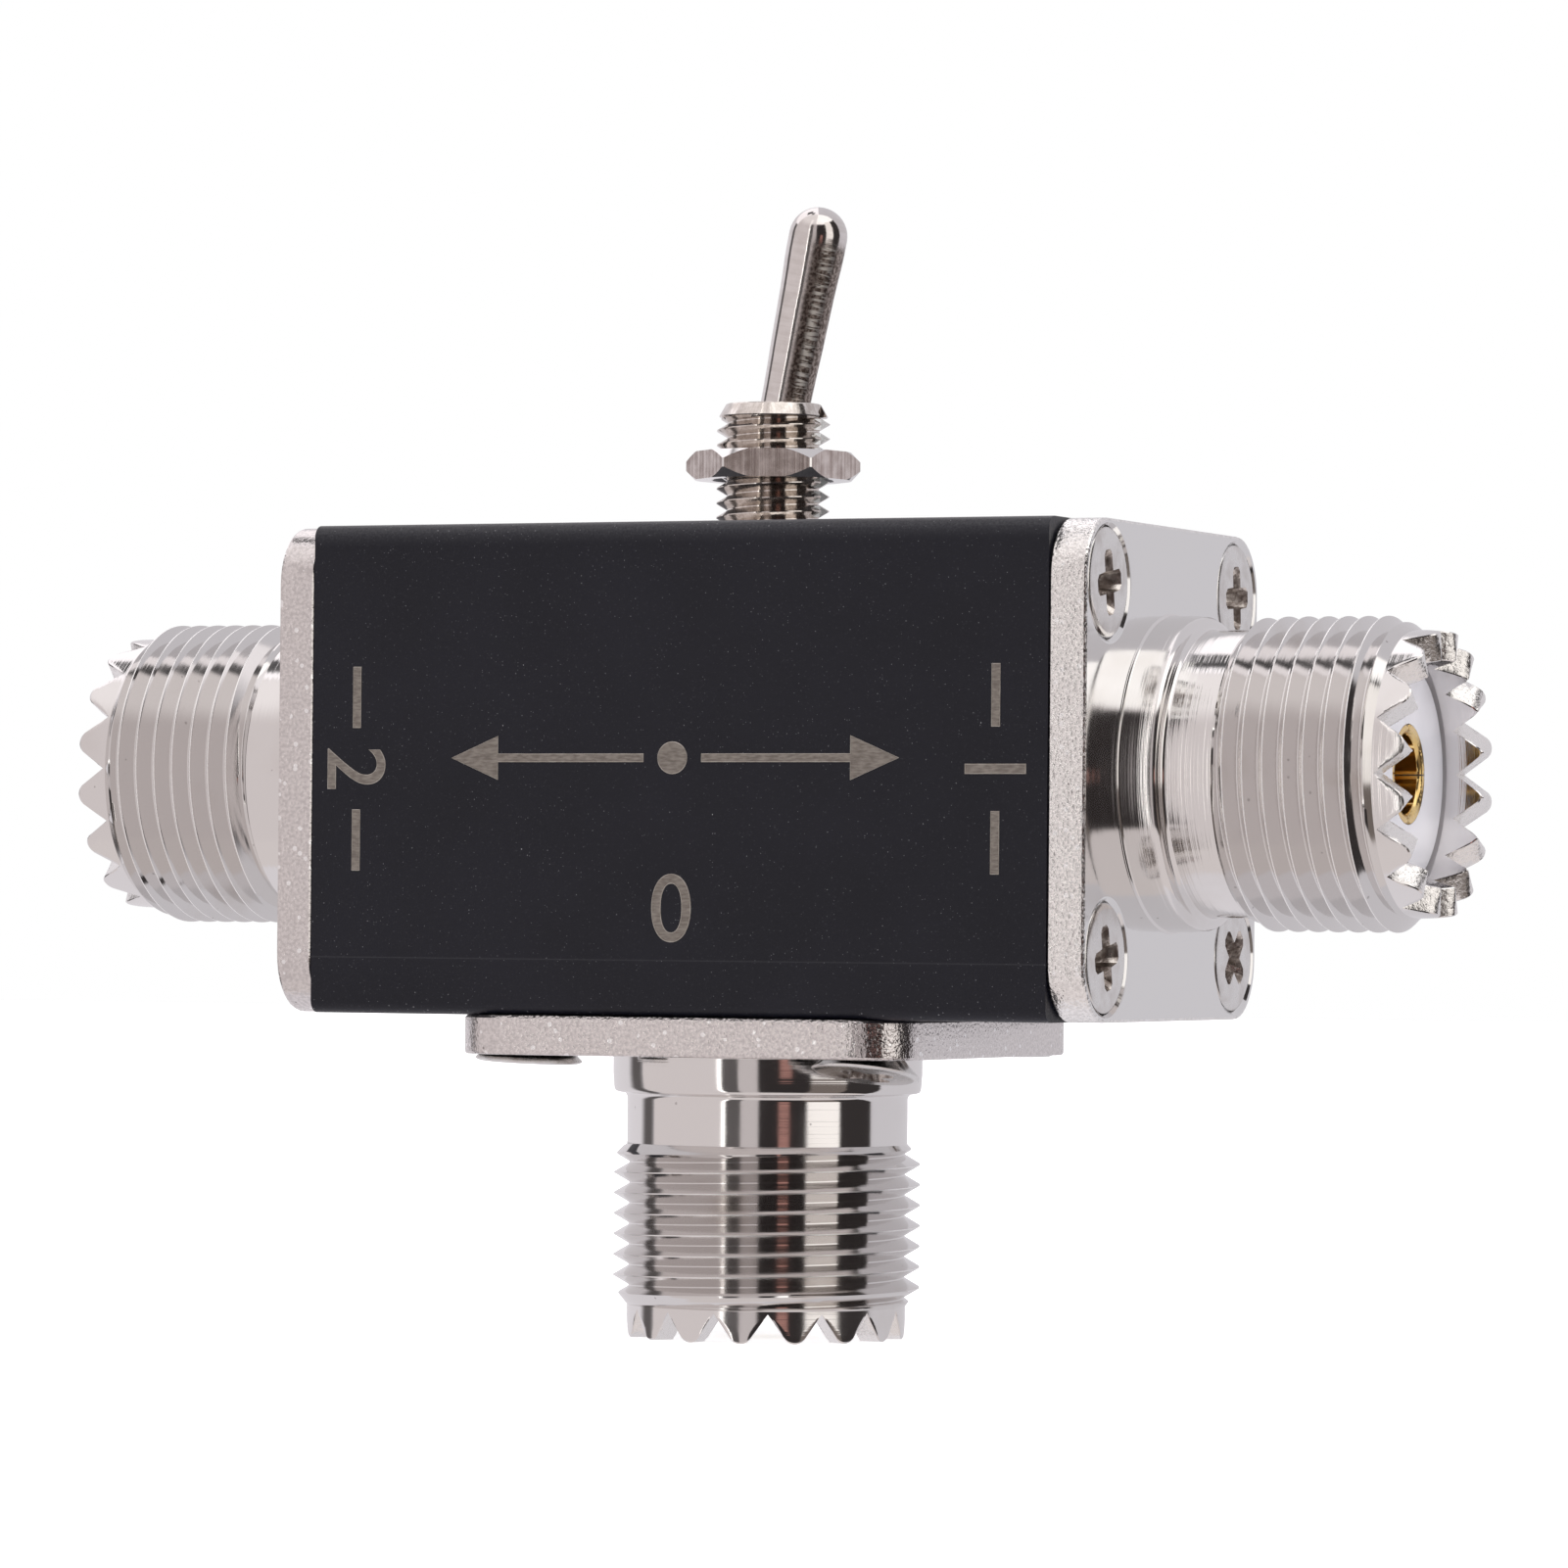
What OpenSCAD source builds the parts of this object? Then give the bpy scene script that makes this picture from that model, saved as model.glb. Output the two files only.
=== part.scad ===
// Two-way coaxial antenna switch.
// A square aluminium housing carries three flanged coaxial sockets, and a miniature
// toggle switch joins the common socket below to the socket at either end.
// Origin: middle of the common socket's mouth. X runs from port 2 to port 1, Z is up,
// and the marked front face looks towards -Y.

/* [Housing] */
// Length between the two end flanges
housing_l = 40.4; // [34:0.2:60]
// Side of the square section, and of the square flanges
housing_w = 25; // [22.4:0.2:30]
// Wall of the square tube
housing_wall = 2.25; // [1.8:0.05:3]
// Radius of the screw bosses in the four long corners
boss_r = 3; // [2.4:0.1:3.4]
// Chamfer along the outer edges
edge_break = 0.3; // [0.1:0.05:0.6]

/* [Flanges and screws] */
// Thickness of each flange
flange_t = 2; // [1.6:0.1:3]
// Radius of each flange corner
flange_corner_r = 3; // [1:0.1:3]
// Distance from a flange's edge to its screw centres
hole_edge = 3.2; // [3:0.1:3.6]
// Thread diameter of the flange screws
screw_d = 3; // [2:0.5:3]
// Length of the flange screws, head included
screw_l = 6; // [5:0.5:7]
// Diameter of the countersunk heads
screw_head_d = 5.5; // [4.8:0.1:5.6]
// How far the common flange's heads stand proud of it
common_screw_proud = 0.35; // [0:0.05:0.5]
// Width of a cross recess
recess_w = 0.9; // [0.5:0.1:1.1]
// Span of a cross recess
recess_l = 3; // [2:0.1:3.4]
// Depth of a cross recess
recess_depth = 1; // [0.5:0.1:1.4]

/* [Sockets] */
// Diameter of the ring at the foot of a barrel
ring_d = 16; // [15.5:0.1:18]
// Height of the ring
ring_h = 2; // [1:0.1:3]
// Diameter of the plain neck
neck_d = 14.5; // [13.8:0.1:15]
// Height of the plain neck
neck_h = 2.6; // [1.5:0.1:4]
// Crest diameter of the coupling thread
thread_d = 15.85; // [15.7:0.05:15.9]
// Length of the coupling thread
thread_l = 8; // [6:0.5:11]
// Height of the relief between thread and crown
relief_h = 0.5; // [0.3:0.1:1]
// Diameter of the toothed crown
crown_d = 14.4; // [13.8:0.1:14.8]
// Depth of the notches between the crown's teeth
tooth_h = 1.5; // [0.8:0.1:2]
// Number of teeth round a crown
tooth_count = 16; // [12:1:18]
// Width of a notch at the teeth's tips
notch_w = 2.1; // [1.2:0.1:2.1]
// Turn of port 1's crown
port_1_turn = 12.1; // [0:0.1:22.5]
// Turn of port 2's crown
port_2_turn = 12.3; // [0:0.1:22.5]
// Turn of the common port's crown
common_turn = 9.6; // [0:0.1:22.5]

/* [Insulators and contacts] */
// Diameter of the insulator in the barrel
insulator_d = 11.4; // [10.5:0.1:12]
// Diameter of the insulator's rear spigot
spigot_d = 9.5; // [8:0.1:10]
// Length of the spigot behind the flange
spigot_l = 2; // [1:0.1:3]
// Depth from the crown's tips to the insulator's face
face_depth = 2.1; // [1.6:0.1:4]
// Diameter of the contact's front sleeve
contact_d = 5; // [4.8:0.1:5.6]
// Bore for the mating pin
contact_bore_d = 4; // [3.9:0.05:4.2]
// Depth of that bore
contact_bore_l = 12; // [9:0.5:13]
// Width of the four slots that let the sleeve grip
slot_w = 0.4; // [0.3:0.1:0.6]
// Length of the four slots
slot_l = 7; // [4:0.5:8]
// Diameter of the contact's rear stem
stem_d = 3.2; // [2.6:0.1:4]
// Length of the solder cup behind the spigot
cup_l = 4; // [3:0.1:5]
// Bore of the solder cup
cup_bore_d = 1.6; // [1.2:0.1:2]

/* [Toggle bushing and nut] */
// Thread diameter of the bushing
bushing_d = 5.85; // [5.8:0.05:6]
// Height of the bushing above the housing
bushing_rise = 6.65; // [5.5:0.05:8]
// Plain collar at the top of the bushing's thread
collar_h = 0.7; // [0.4:0.1:1]
// Diameter of that collar
collar_d = 5.3; // [5.2:0.05:5.6]
// Width of the keyway down the bushing
keyway_w = 0.9; // [0.6:0.1:1.1]
// Depth of the keyway
keyway_depth = 0.45; // [0.3:0.05:0.6]
// Width of the hexagon nut across its flats
nut_af = 7.9; // [7.5:0.1:9]
// Thickness of the nut
nut_t = 1.45; // [1.2:0.05:2]
// Height of the nut's underside above the housing
nut_rise = 2.7; // [0.5:0.05:3.5]
// Turn of the nut, one corner from +X
nut_turn = 18.5; // [0:0.5:60]

/* [Lever and contacts] */
// Height of the lever's pivot above the housing
pivot_rise = 3.4; // [2.8:0.05:3.8]
// Lean of the lever to either side of upright
lever_lean = 11.5; // [9:0.5:12]
// Distance from the pivot to the middle of the lever's rounded end
lever_l = 12.15; // [10:0.05:16]
// Diameter of the lever's rounded end
lever_tip_d = 3.03; // [2.8:0.01:3.6]
// Diameter of the lever where it leaves the bushing
lever_root_d = 2.55; // [2.2:0.05:2.6]
// Diameter of the ball that the lever turns on
ball_d = 3.6; // [3.5:0.05:3.7]
// Diameter of the lever's hollow tail
tail_d = 2.2; // [2:0.05:2.3]
// Length of the tail below the pivot
tail_l = 9.3; // [8.5:0.1:9.8]
// Diameter of the plunger, and of the bore that it slides in
plunger_d = 1.4; // [1.2:0.05:1.5]
// Diameter of the lever's cross pin
pin_d = 1; // [0.8:0.1:1.2]
// Tilt of the rocker to either side of level
rocker_tilt = 8; // [5:0.5:9]
// Thickness of the rocker
rocker_t = 0.45; // [0.3:0.05:0.6]
// Width of the rocker
rocker_w = 2.4; // [2:0.1:3]
// How far a wing of the rocker reaches past the middle of its terminal
wing_past = 0.15; // [0.1:0.05:0.3]

/* [Switch case] */
// Length of the moulded case
case_l = 12; // [10.6:0.1:14]
// Width of the case
case_w = 7.9; // [6.5:0.1:9]
// Height of the case
case_h = 9.5; // [9.2:0.1:10.5]
// Wall of the case
case_wall = 0.9; // [0.6:0.05:0.95]
// Floor of the case
case_floor = 1.8; // [1.2:0.1:2]
// Thickness of the sheet bracket round the case
bracket_t = 0.6; // [0.4:0.05:0.8]
// Width of the bracket's legs
bracket_leg_w = 5; // [4:0.1:6]
// Length of the tabs folded under the case
bracket_tab = 0.5; // [0.3:0.05:0.6]
// Thickness of a terminal
terminal_t = 0.7; // [0.5:0.05:0.8]
// Width of a terminal
terminal_w = 2; // [1.6:0.1:2.6]
// Distance from the common solder cup to the tails of the terminals
tail_clear = 1.5; // [1.2:0.1:3]
// Diameter of the eye in a terminal
eye_d = 1.1; // [1.1:0.05:1.3]
// Diameter of the connecting wires
wire_d = 0.9; // [0.6:0.05:0.95]

/* [Clearances] */
// Gap round seated and threaded pieces
seat_gap = 0.03; // [0.02:0.01:0.06]
// Radial clearance of pieces that turn or slide
run_gap = 0.05; // [0.03:0.01:0.08]
// Gap where the switch's contacts meet
contact_gap = 0.05; // [0.04:0.01:0.1]
// Gap between a throw terminal and the case's end wall
wall_gap = 0.05; // [0.04:0.01:0.1]

/* [Hidden] */
$fn = 96;

// Colours, as the photograph shows the finishes
black_anodised = [0.13, 0.13, 0.14];
nickel = [0.78, 0.77, 0.76];
dark_nickel = [0.66, 0.64, 0.61];
steel = [0.7, 0.7, 0.72];
white_plastic = [0.9, 0.9, 0.92];
gold = [0.86, 0.68, 0.3];
red_phenolic = [0.55, 0.12, 0.1];
acetal = [0.93, 0.92, 0.88];
tinned_copper = [0.75, 0.66, 0.56];

// Small overlap of a cutter past the face that it cuts
cut = 0.5;
// Width of the rounded or chamfered break on turned edges
turned_break = 0.25;
// The crown's notches end this much above its foot
crown_foot = 0.15;
// Metal between a contact's bore and its cup, and the wall that ends the cup
bore_floor = 1;
cup_floor = 0.4;
// Lead-in at the mouth of the contact's bore
bore_break = 0.2;

// A socket's own frame has z = 0 on the flange's back face and +Z out of its mouth
barrel_l = ring_h + neck_h + thread_l + relief_h + tooth_h;
mouth_z = flange_t + barrel_l;
thread_z = flange_t + ring_h + neck_h;
insulator_z = mouth_z - face_depth;
shoulder_z = flange_t / 2;
cup_end_z = -spigot_l - cup_l;

// Heights of the assembly above the common socket's mouth
port_z = housing_w / 2 + mouth_z;
top_z = port_z + housing_w / 2;
roof_z = top_z - housing_wall;
belly_z = port_z - housing_w / 2;
cavity_w = housing_w - 2 * housing_wall;

// Flange screws
hole_pitch = housing_w - 2 * hole_edge;
screw_r = screw_d / 2;
head_r = screw_head_d / 2;
head_h = head_r - screw_r;
// Straight rim of a head, and the room round its shank in the flange
head_rim = 0.15;
shank_gap = 0.15;
// The tapped holes go a little deeper than the screws
tap_spare = 0.8;
tap_depth = screw_l - flange_t + tap_spare;

// Toggle switch
bushing_r = bushing_d / 2;
bushing_base_z = roof_z - bracket_t;
bushing_end_z = top_z + bushing_rise;
pivot_z = top_z + pivot_rise;
ball_r = ball_d / 2;
tail_r = tail_d / 2;
// The cross pin's ends stay inside the bushing's thread
pin_inset = 0.6;
pin_reach = bushing_r - pin_inset;
// Lip over the ball's seat, step below the ball, and the lever's room in the bore
seat_lip = 0.25;
bore_step = 1.6;
side_room = 0.15;
// Fall and run of the nut's chamfer at its corners
nut_fall = 0.5;
nut_run = 0.9;
// The lever's straight root, and the stretches at its end where it swells
root_l = 2.2;
flare_l = 0.8;
waist_l = 2.9;
case_top_z = roof_z - bracket_t;
case_bottom_z = case_top_z - case_h;
// Rise of the rocker's wings over its hub's centre, and of that centre over the floor
wing_rise = 0.85;
hub_rise = 1.3;
hub_wall = 0.4;
terminal_round_r = terminal_t / 2;
groove_r = terminal_round_r + run_gap;
terminal_pitch = case_l / 2 - case_wall - wall_gap - terminal_t / 2;
wing_l = terminal_pitch + wing_past;
rocker_z = case_bottom_z + case_floor + hub_rise;
plunger_reach = pivot_z - rocker_z - wing_rise - contact_gap;
plunger_l = 5;
// Top of the chamber in the tail that holds the spring, below the pivot
spring_chamber_top = 4;
spring_wall = 0.25;
throw_top_z = rocker_z + wing_rise * cos(rocker_tilt) - rocker_t - contact_gap;
cup_top_z = belly_z - cup_end_z;
tail_z = cup_top_z + tail_clear;
// Each eye is concentric with its terminal's round tail
eye_z = tail_z + terminal_w / 2;
wire_r = wire_d / 2;
// Length of wire that goes into the solder of a cup
wire_in_solder = 1;
// Straight ends of the port wires, and how far they pass through the eyes
wire_straight = 1.5;
past_eye = 0.6;
// Room that the common wire leaves at its bends
bend_room = 0.5;

// Square with round corners, drawn with true arcs
module round_square(side, r) {
    inner = side - 2 * r;
    square([side, inner], center = true);
    square([inner, side], center = true);
    for (x = [-1, 1])
        for (y = [-1, 1])
            translate([x * inner / 2, y * inner / 2])
                circle(r);
}

// Square with its corners cut at 45 degrees
module chamfered_square(side, c) {
    h = side / 2;
    polygon([
        [-h + c, -h], [h - c, -h], [h, -h + c], [h, h - c],
        [h - c, h], [-h + c, h], [-h, h - c], [-h, -h + c]]);
}

// Places a child at the four screw centres of a flange
module at_holes() {
    for (x = [-1, 1])
        for (y = [-1, 1])
            translate([x * hole_pitch / 2, y * hole_pitch / 2, 0])
                children();
}

// Carry a socket's frame to its port
module at_port_1() {
    translate([housing_l / 2, 0, port_z])
        rotate([0, 90, 0])
            children();
}

module at_port_2() {
    translate([-housing_l / 2, 0, port_z])
        rotate([0, -90, 0])
            children();
}

module at_common() {
    translate([0, 0, belly_z])
        rotate([180, 0, 0])
            children();
}

// Round wire along points in the plane y = 0, with mitred bends
module wire(route, r) {
    sides = 16;
    last = len(route) - 1;
    function leg(i) = (route[i + 1] - route[i]) / norm(route[i + 1] - route[i]);
    function heading(i) = i == 0 ? leg(0) : i == last ? leg(last - 1) : leg(i - 1) + leg(i);
    function mitre(i) = cross(heading(i), [0, 1, 0]) / norm(heading(i));
    function stretch(i) = i == 0 || i == last ? 1 : 2 / norm(heading(i));
    points = [
        for (i = [0:last])
            for (k = [0:sides - 1])
                route[i] + r * cos(360 * k / sides) * [0, 1, 0]
                    + r * sin(360 * k / sides) * stretch(i) * mitre(i)];
    faces = [
        [for (k = [0:sides - 1]) k],
        [for (k = [sides - 1:-1:0]) last * sides + k],
        for (i = [0:last - 1])
            for (k = [0:sides - 1])
                [i * sides + k, (i + 1) * sides + k,
                 (i + 1) * sides + (k + 1) % sides, i * sides + (k + 1) % sides]];
    polyhedron(points, faces);
}

// ---- Housing ------------------------------------------------------------------

// One corner boss, joined to both walls of its corner
module corner_boss() {
    p = hole_pitch / 2;
    fill = cavity_w / 2 - p + housing_wall / 2;
    translate([p, p])
        circle(boss_r);
    translate([p - boss_r, p])
        square([boss_r + fill, fill]);
    translate([p, p - boss_r])
        square([fill, boss_r + fill]);
}

// Section of the extruded tube, seen along its length
module housing_section() {
    difference() {
        chamfered_square(housing_w, edge_break);
        square(cavity_w, center = true);
    }
    for (turn = [0:90:270])
        rotate(turn)
            corner_boss();
}

// Tapped holes that a flange's screws go into, in the socket's frame
module tapped_holes() {
    at_holes()
        translate([0, 0, -tap_depth])
            cylinder(r = screw_r + run_gap, h = tap_depth + cut);
}

module housing() {
    color(black_anodised)
        difference() {
            translate([-housing_l / 2, 0, port_z])
                rotate([90, 0, 90])
                    linear_extrude(housing_l)
                        housing_section();
            at_port_1() tapped_holes();
            at_port_2() tapped_holes();
            at_common() tapped_holes();
            // Opening for the common insulator's spigot
            translate([0, 0, belly_z - cut])
                cylinder(r = spigot_d / 2 + 4 * seat_gap, h = housing_wall + 2 * cut);
            // Tapped hole for the toggle bushing
            translate([0, 0, roof_z - cut])
                cylinder(r = bushing_r + seat_gap, h = housing_wall + 2 * cut);
        }
}

// ---- Sockets ------------------------------------------------------------------

// Half section of the turned barrel, with the stepped bore for the insulator
module barrel_outline() {
    b = turned_break;
    ring_top = flange_t + ring_h;
    thread_end = thread_z + thread_l;
    bore_r = insulator_d / 2 + seat_gap;
    spigot_r = spigot_d / 2 + seat_gap;
    polygon([
        [spigot_r, 0], [ring_d / 2, 0],
        [ring_d / 2, ring_top - b], [ring_d / 2 - b, ring_top],
        [neck_d / 2, ring_top], [neck_d / 2, thread_z - b],
        [thread_d / 2, thread_z], [thread_d / 2, thread_end],
        [crown_d / 2, thread_end + relief_h - crown_foot], [crown_d / 2, mouth_z],
        [bore_r, mouth_z], [bore_r, shoulder_z], [spigot_r, shoulder_z]]);
}

// V notches that leave the teeth of the crown
module crown_notches() {
    step = 360 / tooth_count;
    half_open = notch_w / 2 * (1 + cut / tooth_h);
    for (i = [0:tooth_count - 1])
        rotate([0, 0, (i + 0.5) * step])
            translate([insulator_d / 2 - cut, 0, mouth_z])
                rotate([90, 0, 90])
                    linear_extrude((crown_d - insulator_d) / 2 + 2 * cut)
                        polygon([[0, -tooth_h], [half_open, cut], [-half_open, cut]]);
}

// Countersunk clearance holes, for heads that stand proud by the given height
module countersinks(proud) {
    mouth_r = head_r + head_rim + seat_gap - proud;
    at_holes() {
        translate([0, 0, -cut])
            cylinder(r = screw_r + shank_gap, h = flange_t + 2 * cut);
        translate([0, 0, flange_t - (mouth_r - screw_r)])
            cylinder(r1 = screw_r, r2 = mouth_r + cut, h = mouth_r - screw_r + cut);
    }
}

module socket(turn, proud) {
    color(nickel)
        difference() {
            union() {
                linear_extrude(flange_t)
                    difference() {
                        round_square(housing_w, flange_corner_r);
                        circle(neck_d / 2);
                    }
                rotate([0, 0, turn])
                    difference() {
                        rotate_extrude()
                            barrel_outline();
                        crown_notches();
                    }
            }
            countersinks(proud);
        }
}

module insulator() {
    b = turned_break;
    color(white_plastic)
        difference() {
            rotate_extrude()
                polygon([
                    [0, -spigot_l], [spigot_d / 2, -spigot_l],
                    [spigot_d / 2, shoulder_z], [insulator_d / 2, shoulder_z],
                    [insulator_d / 2, insulator_z - b], [insulator_d / 2 - b, insulator_z],
                    [0, insulator_z]]);
            contact_solid(seat_gap);
        }
}

// Outer form of a contact, grown by the given gap
module contact_solid(gap) {
    sleeve_z = insulator_z - contact_bore_l - bore_floor;
    translate([0, 0, sleeve_z - gap])
        cylinder(r = contact_d / 2 + gap, h = insulator_z - sleeve_z + 2 * gap);
    translate([0, 0, cup_end_z])
        cylinder(r = stem_d / 2 + gap, h = sleeve_z - cup_end_z);
}

module contact() {
    color(gold)
        difference() {
            contact_solid(0);
            translate([0, 0, insulator_z - contact_bore_l])
                cylinder(r = contact_bore_d / 2, h = contact_bore_l + cut);
            // Lead-in at the mouth of the bore
            translate([0, 0, insulator_z - bore_break])
                cylinder(r1 = contact_bore_d / 2, r2 = contact_bore_d / 2 + bore_break + cut,
                         h = bore_break + cut);
            // Two crossed cuts make the sleeve's four slots
            for (turn = [0, 90])
                rotate([0, 0, turn])
                    translate([-contact_d, -slot_w / 2, insulator_z - slot_l])
                        cube([2 * contact_d, slot_w, slot_l + cut]);
            // Solder cup, half cut away so that it can be filled
            translate([0, 0, cup_end_z - cut])
                cylinder(r = cup_bore_d / 2, h = cup_l - cup_floor + cut);
            translate([-stem_d, 0, cup_end_z - cut])
                cube([2 * stem_d, stem_d, cup_l / 2 + cut]);
        }
}

// Countersunk cross-recessed screw, head up, z = 0 on its top
module flange_screw() {
    difference() {
        rotate_extrude()
            polygon([
                [0, -screw_l], [screw_r, -screw_l], [screw_r, -head_rim - head_h],
                [head_r, -head_rim], [head_r, 0], [0, 0]]);
        for (turn = [0, 90])
            rotate([0, 0, turn])
                translate([-recess_l / 2, -recess_w / 2, -recess_depth])
                    cube([recess_l, recess_w, recess_depth + cut]);
    }
}

module flange_screws(proud) {
    color(steel)
        at_holes()
            translate([0, 0, flange_t + proud])
                flange_screw();
}

// ---- Toggle switch ------------------------------------------------------------

// Room for the lever above its ball and for its tail below, inside the bushing
module bushing_bore() {
    seat_r = ball_r - seat_lip;
    seat_z = sqrt(pow(ball_r, 2) - pow(seat_r, 2)) + run_gap;
    mouth_r = (bushing_rise - pivot_rise) * tan(lever_lean) + lever_root_d / 2 + side_room;
    tail_room = pivot_z - bushing_base_z;
    foot_r = tail_room * tan(lever_lean) + tail_r / cos(lever_lean) + side_room;
    neck_r = ball_r + run_gap;
    translate([0, 0, pivot_z])
        rotate_extrude()
            polygon([
                [0, -tail_room - cut], [foot_r, -tail_room - cut], [foot_r, -tail_room],
                [neck_r, -bore_step], [neck_r, seat_z], [seat_r, seat_z],
                [mouth_r, bushing_end_z - pivot_z], [mouth_r, bushing_end_z - pivot_z + cut],
                [0, bushing_end_z - pivot_z + cut]]);
}

// Slots that the cross pin's ends slide up and turn in
module pin_slots() {
    slot_r = pin_d / 2 + run_gap;
    reach = pin_reach + run_gap;
    translate([0, reach, pivot_z])
        rotate([90, 0, 0])
            cylinder(r = slot_r, h = 2 * reach);
    translate([-slot_r, -reach, bushing_base_z - cut])
        cube([2 * slot_r, 2 * reach, pivot_z - bushing_base_z + cut]);
}

module toggle_bushing() {
    b = turned_break;
    color(dark_nickel)
        difference() {
            rotate_extrude()
                polygon([
                    [0, bushing_base_z], [bushing_r, bushing_base_z],
                    [bushing_r, bushing_end_z - collar_h - b],
                    [collar_d / 2, bushing_end_z - collar_h],
                    [collar_d / 2, bushing_end_z], [0, bushing_end_z]]);
            bushing_bore();
            pin_slots();
            translate([bushing_r - keyway_depth, -keyway_w / 2, top_z])
                cube([bushing_r, keyway_w, bushing_rise + cut]);
        }
}

// Hexagon nut with both faces chamfered
module hex_nut() {
    corner_r = nut_af / sqrt(3);
    color(steel)
        translate([0, 0, top_z + nut_rise])
            rotate([0, 0, nut_turn])
                difference() {
                    intersection() {
                        cylinder(r = corner_r, h = nut_t, $fn = 6);
                        rotate_extrude()
                            polygon([
                                [0, 0], [corner_r - nut_run, 0], [corner_r, nut_fall],
                                [corner_r, nut_t - nut_fall], [corner_r - nut_run, nut_t],
                                [0, nut_t]]);
                    }
                    translate([0, 0, -cut])
                        cylinder(r = bushing_r + run_gap, h = nut_t + 2 * cut);
                }
}

// Puts a child into the lever's frame: z = 0 at the pivot, +Z along the lever
module at_lever() {
    translate([0, 0, pivot_z])
        rotate([0, lever_lean, 0])
            children();
}

// Half section of the lever: round end, flared stem, ball and tail
module lever_outline() {
    flare_z = lever_l - flare_l;
    waist_z = lever_l - waist_l;
    tip_r = lever_tip_d / 2;
    root_r = lever_root_d / 2;
    waist_share = 0.62;
    waist_r = root_r + waist_share * (tip_r - root_r);
    intersection() {
        union() {
            circle(ball_r);
            polygon([
                [0, 0], [root_r, 0], [root_r, root_l], [waist_r, waist_z],
                [tip_r, flare_z], [tip_r, lever_l], [0, lever_l]]);
            translate([0, lever_l])
                circle(tip_r);
            translate([0, -tail_l])
                square([tail_r, tail_l]);
        }
        translate([0, -tail_l])
            square([ball_d, tail_l + lever_l + lever_tip_d]);
    }
}

module toggle_lever() {
    color(dark_nickel)
        at_lever()
            difference() {
                rotate_extrude()
                    lever_outline();
                translate([0, 0, -tail_l - cut])
                    cylinder(r = plunger_d / 2 + run_gap, h = tail_l - spring_chamber_top + cut);
                rotate([90, 0, 0])
                    cylinder(r = pin_d / 2 + seat_gap, h = 2 * ball_d, center = true);
            }
}

module lever_pin() {
    color(steel)
        translate([0, 0, pivot_z])
            rotate([90, 0, 0])
                cylinder(r = pin_d / 2, h = 2 * pin_reach, center = true);
}

// Plastic plunger with a round nose that pushes the rocker over
module plunger() {
    r = plunger_d / 2;
    color(acetal)
        at_lever()
            translate([0, 0, r - plunger_reach])
                rotate_extrude()
                    intersection() {
                        union() {
                            circle(r);
                            square([r, plunger_l - r]);
                        }
                        translate([0, -r])
                            square([r, plunger_l]);
                    }
}

// Coil spring behind the plunger, as the sleeve that its turns fill
module plunger_spring() {
    foot = -plunger_reach + plunger_l + seat_gap;
    span = -spring_chamber_top - seat_gap - foot;
    r = plunger_d / 2;
    color(steel)
        at_lever()
            translate([0, 0, foot])
                difference() {
                    cylinder(r = r, h = span);
                    translate([0, 0, -cut])
                        cylinder(r = r - spring_wall, h = span + 2 * cut);
                }
}

// Sprung rocker: two wings that rise from a hub with a groove for the common terminal
module rocker_section() {
    slope = tan(rocker_tilt);
    drop = rocker_t / cos(rocker_tilt);
    hub = groove_r + hub_wall;
    tip = wing_rise + wing_l * slope;
    armpit = wing_rise + hub * slope - drop;
    difference() {
        polygon([
            [-wing_l, tip], [0, wing_rise], [wing_l, tip], [wing_l, tip - drop],
            [hub, armpit], [hub, 0], [-hub, 0], [-hub, armpit], [-wing_l, tip - drop]]);
        circle(groove_r);
    }
}

module rocker_contact() {
    color(gold)
        translate([0, rocker_w / 2, rocker_z])
            rotate([0, -rocker_tilt, 0])
                rotate([90, 0, 0])
                    linear_extrude(rocker_w)
                        rocker_section();
}

// Sheet bracket: a plate under the roof, a leg down each end and a tab under the case
module switch_bracket() {
    outer = case_l + 2 * bracket_t;
    foot_z = case_bottom_z - bracket_t;
    color(steel)
        difference() {
            union() {
                translate([-outer / 2, -case_w / 2, case_top_z])
                    cube([outer, case_w, bracket_t]);
                for (side = [0, 180])
                    rotate([0, 0, side]) {
                        translate([case_l / 2, -bracket_leg_w / 2, foot_z])
                            cube([bracket_t, bracket_leg_w, case_top_z - foot_z + bracket_t / 2]);
                        translate([case_l / 2 - bracket_tab, -bracket_leg_w / 2, foot_z])
                            cube([bracket_tab + bracket_t / 2, bracket_leg_w, bracket_t]);
                    }
            }
            translate([0, 0, case_top_z - cut])
                cylinder(r = bushing_r + seat_gap, h = bracket_t + 2 * cut);
        }
}

// Slot through the case floor for one terminal
module terminal_slot(x) {
    translate([x - terminal_t / 2 - seat_gap, -terminal_w / 2 - seat_gap, case_bottom_z - cut])
        cube([terminal_t + 2 * seat_gap, terminal_w + 2 * seat_gap, case_floor + 2 * cut]);
}

module switch_case() {
    color(red_phenolic)
        difference() {
            translate([-case_l / 2, -case_w / 2, case_bottom_z])
                cube([case_l, case_w, case_h]);
            translate([-case_l / 2 + case_wall, -case_w / 2 + case_wall,
                       case_bottom_z + case_floor])
                cube([case_l - 2 * case_wall, case_w - 2 * case_wall, case_h]);
            for (x = [-terminal_pitch, 0, terminal_pitch])
                terminal_slot(x);
        }
}

// Flat terminal blade with a rounded tail and an eye for the wire
module terminal_blade(x, blade_top) {
    half = terminal_w / 2;
    translate([x - terminal_t / 2, 0, 0])
        rotate([90, 0, 90])
            linear_extrude(terminal_t)
                difference() {
                    union() {
                        translate([-half, tail_z + half])
                            square([terminal_w, blade_top - tail_z - half]);
                        translate([0, tail_z + half])
                            circle(half);
                    }
                    translate([0, eye_z])
                        circle(eye_d / 2);
                }
}

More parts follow.
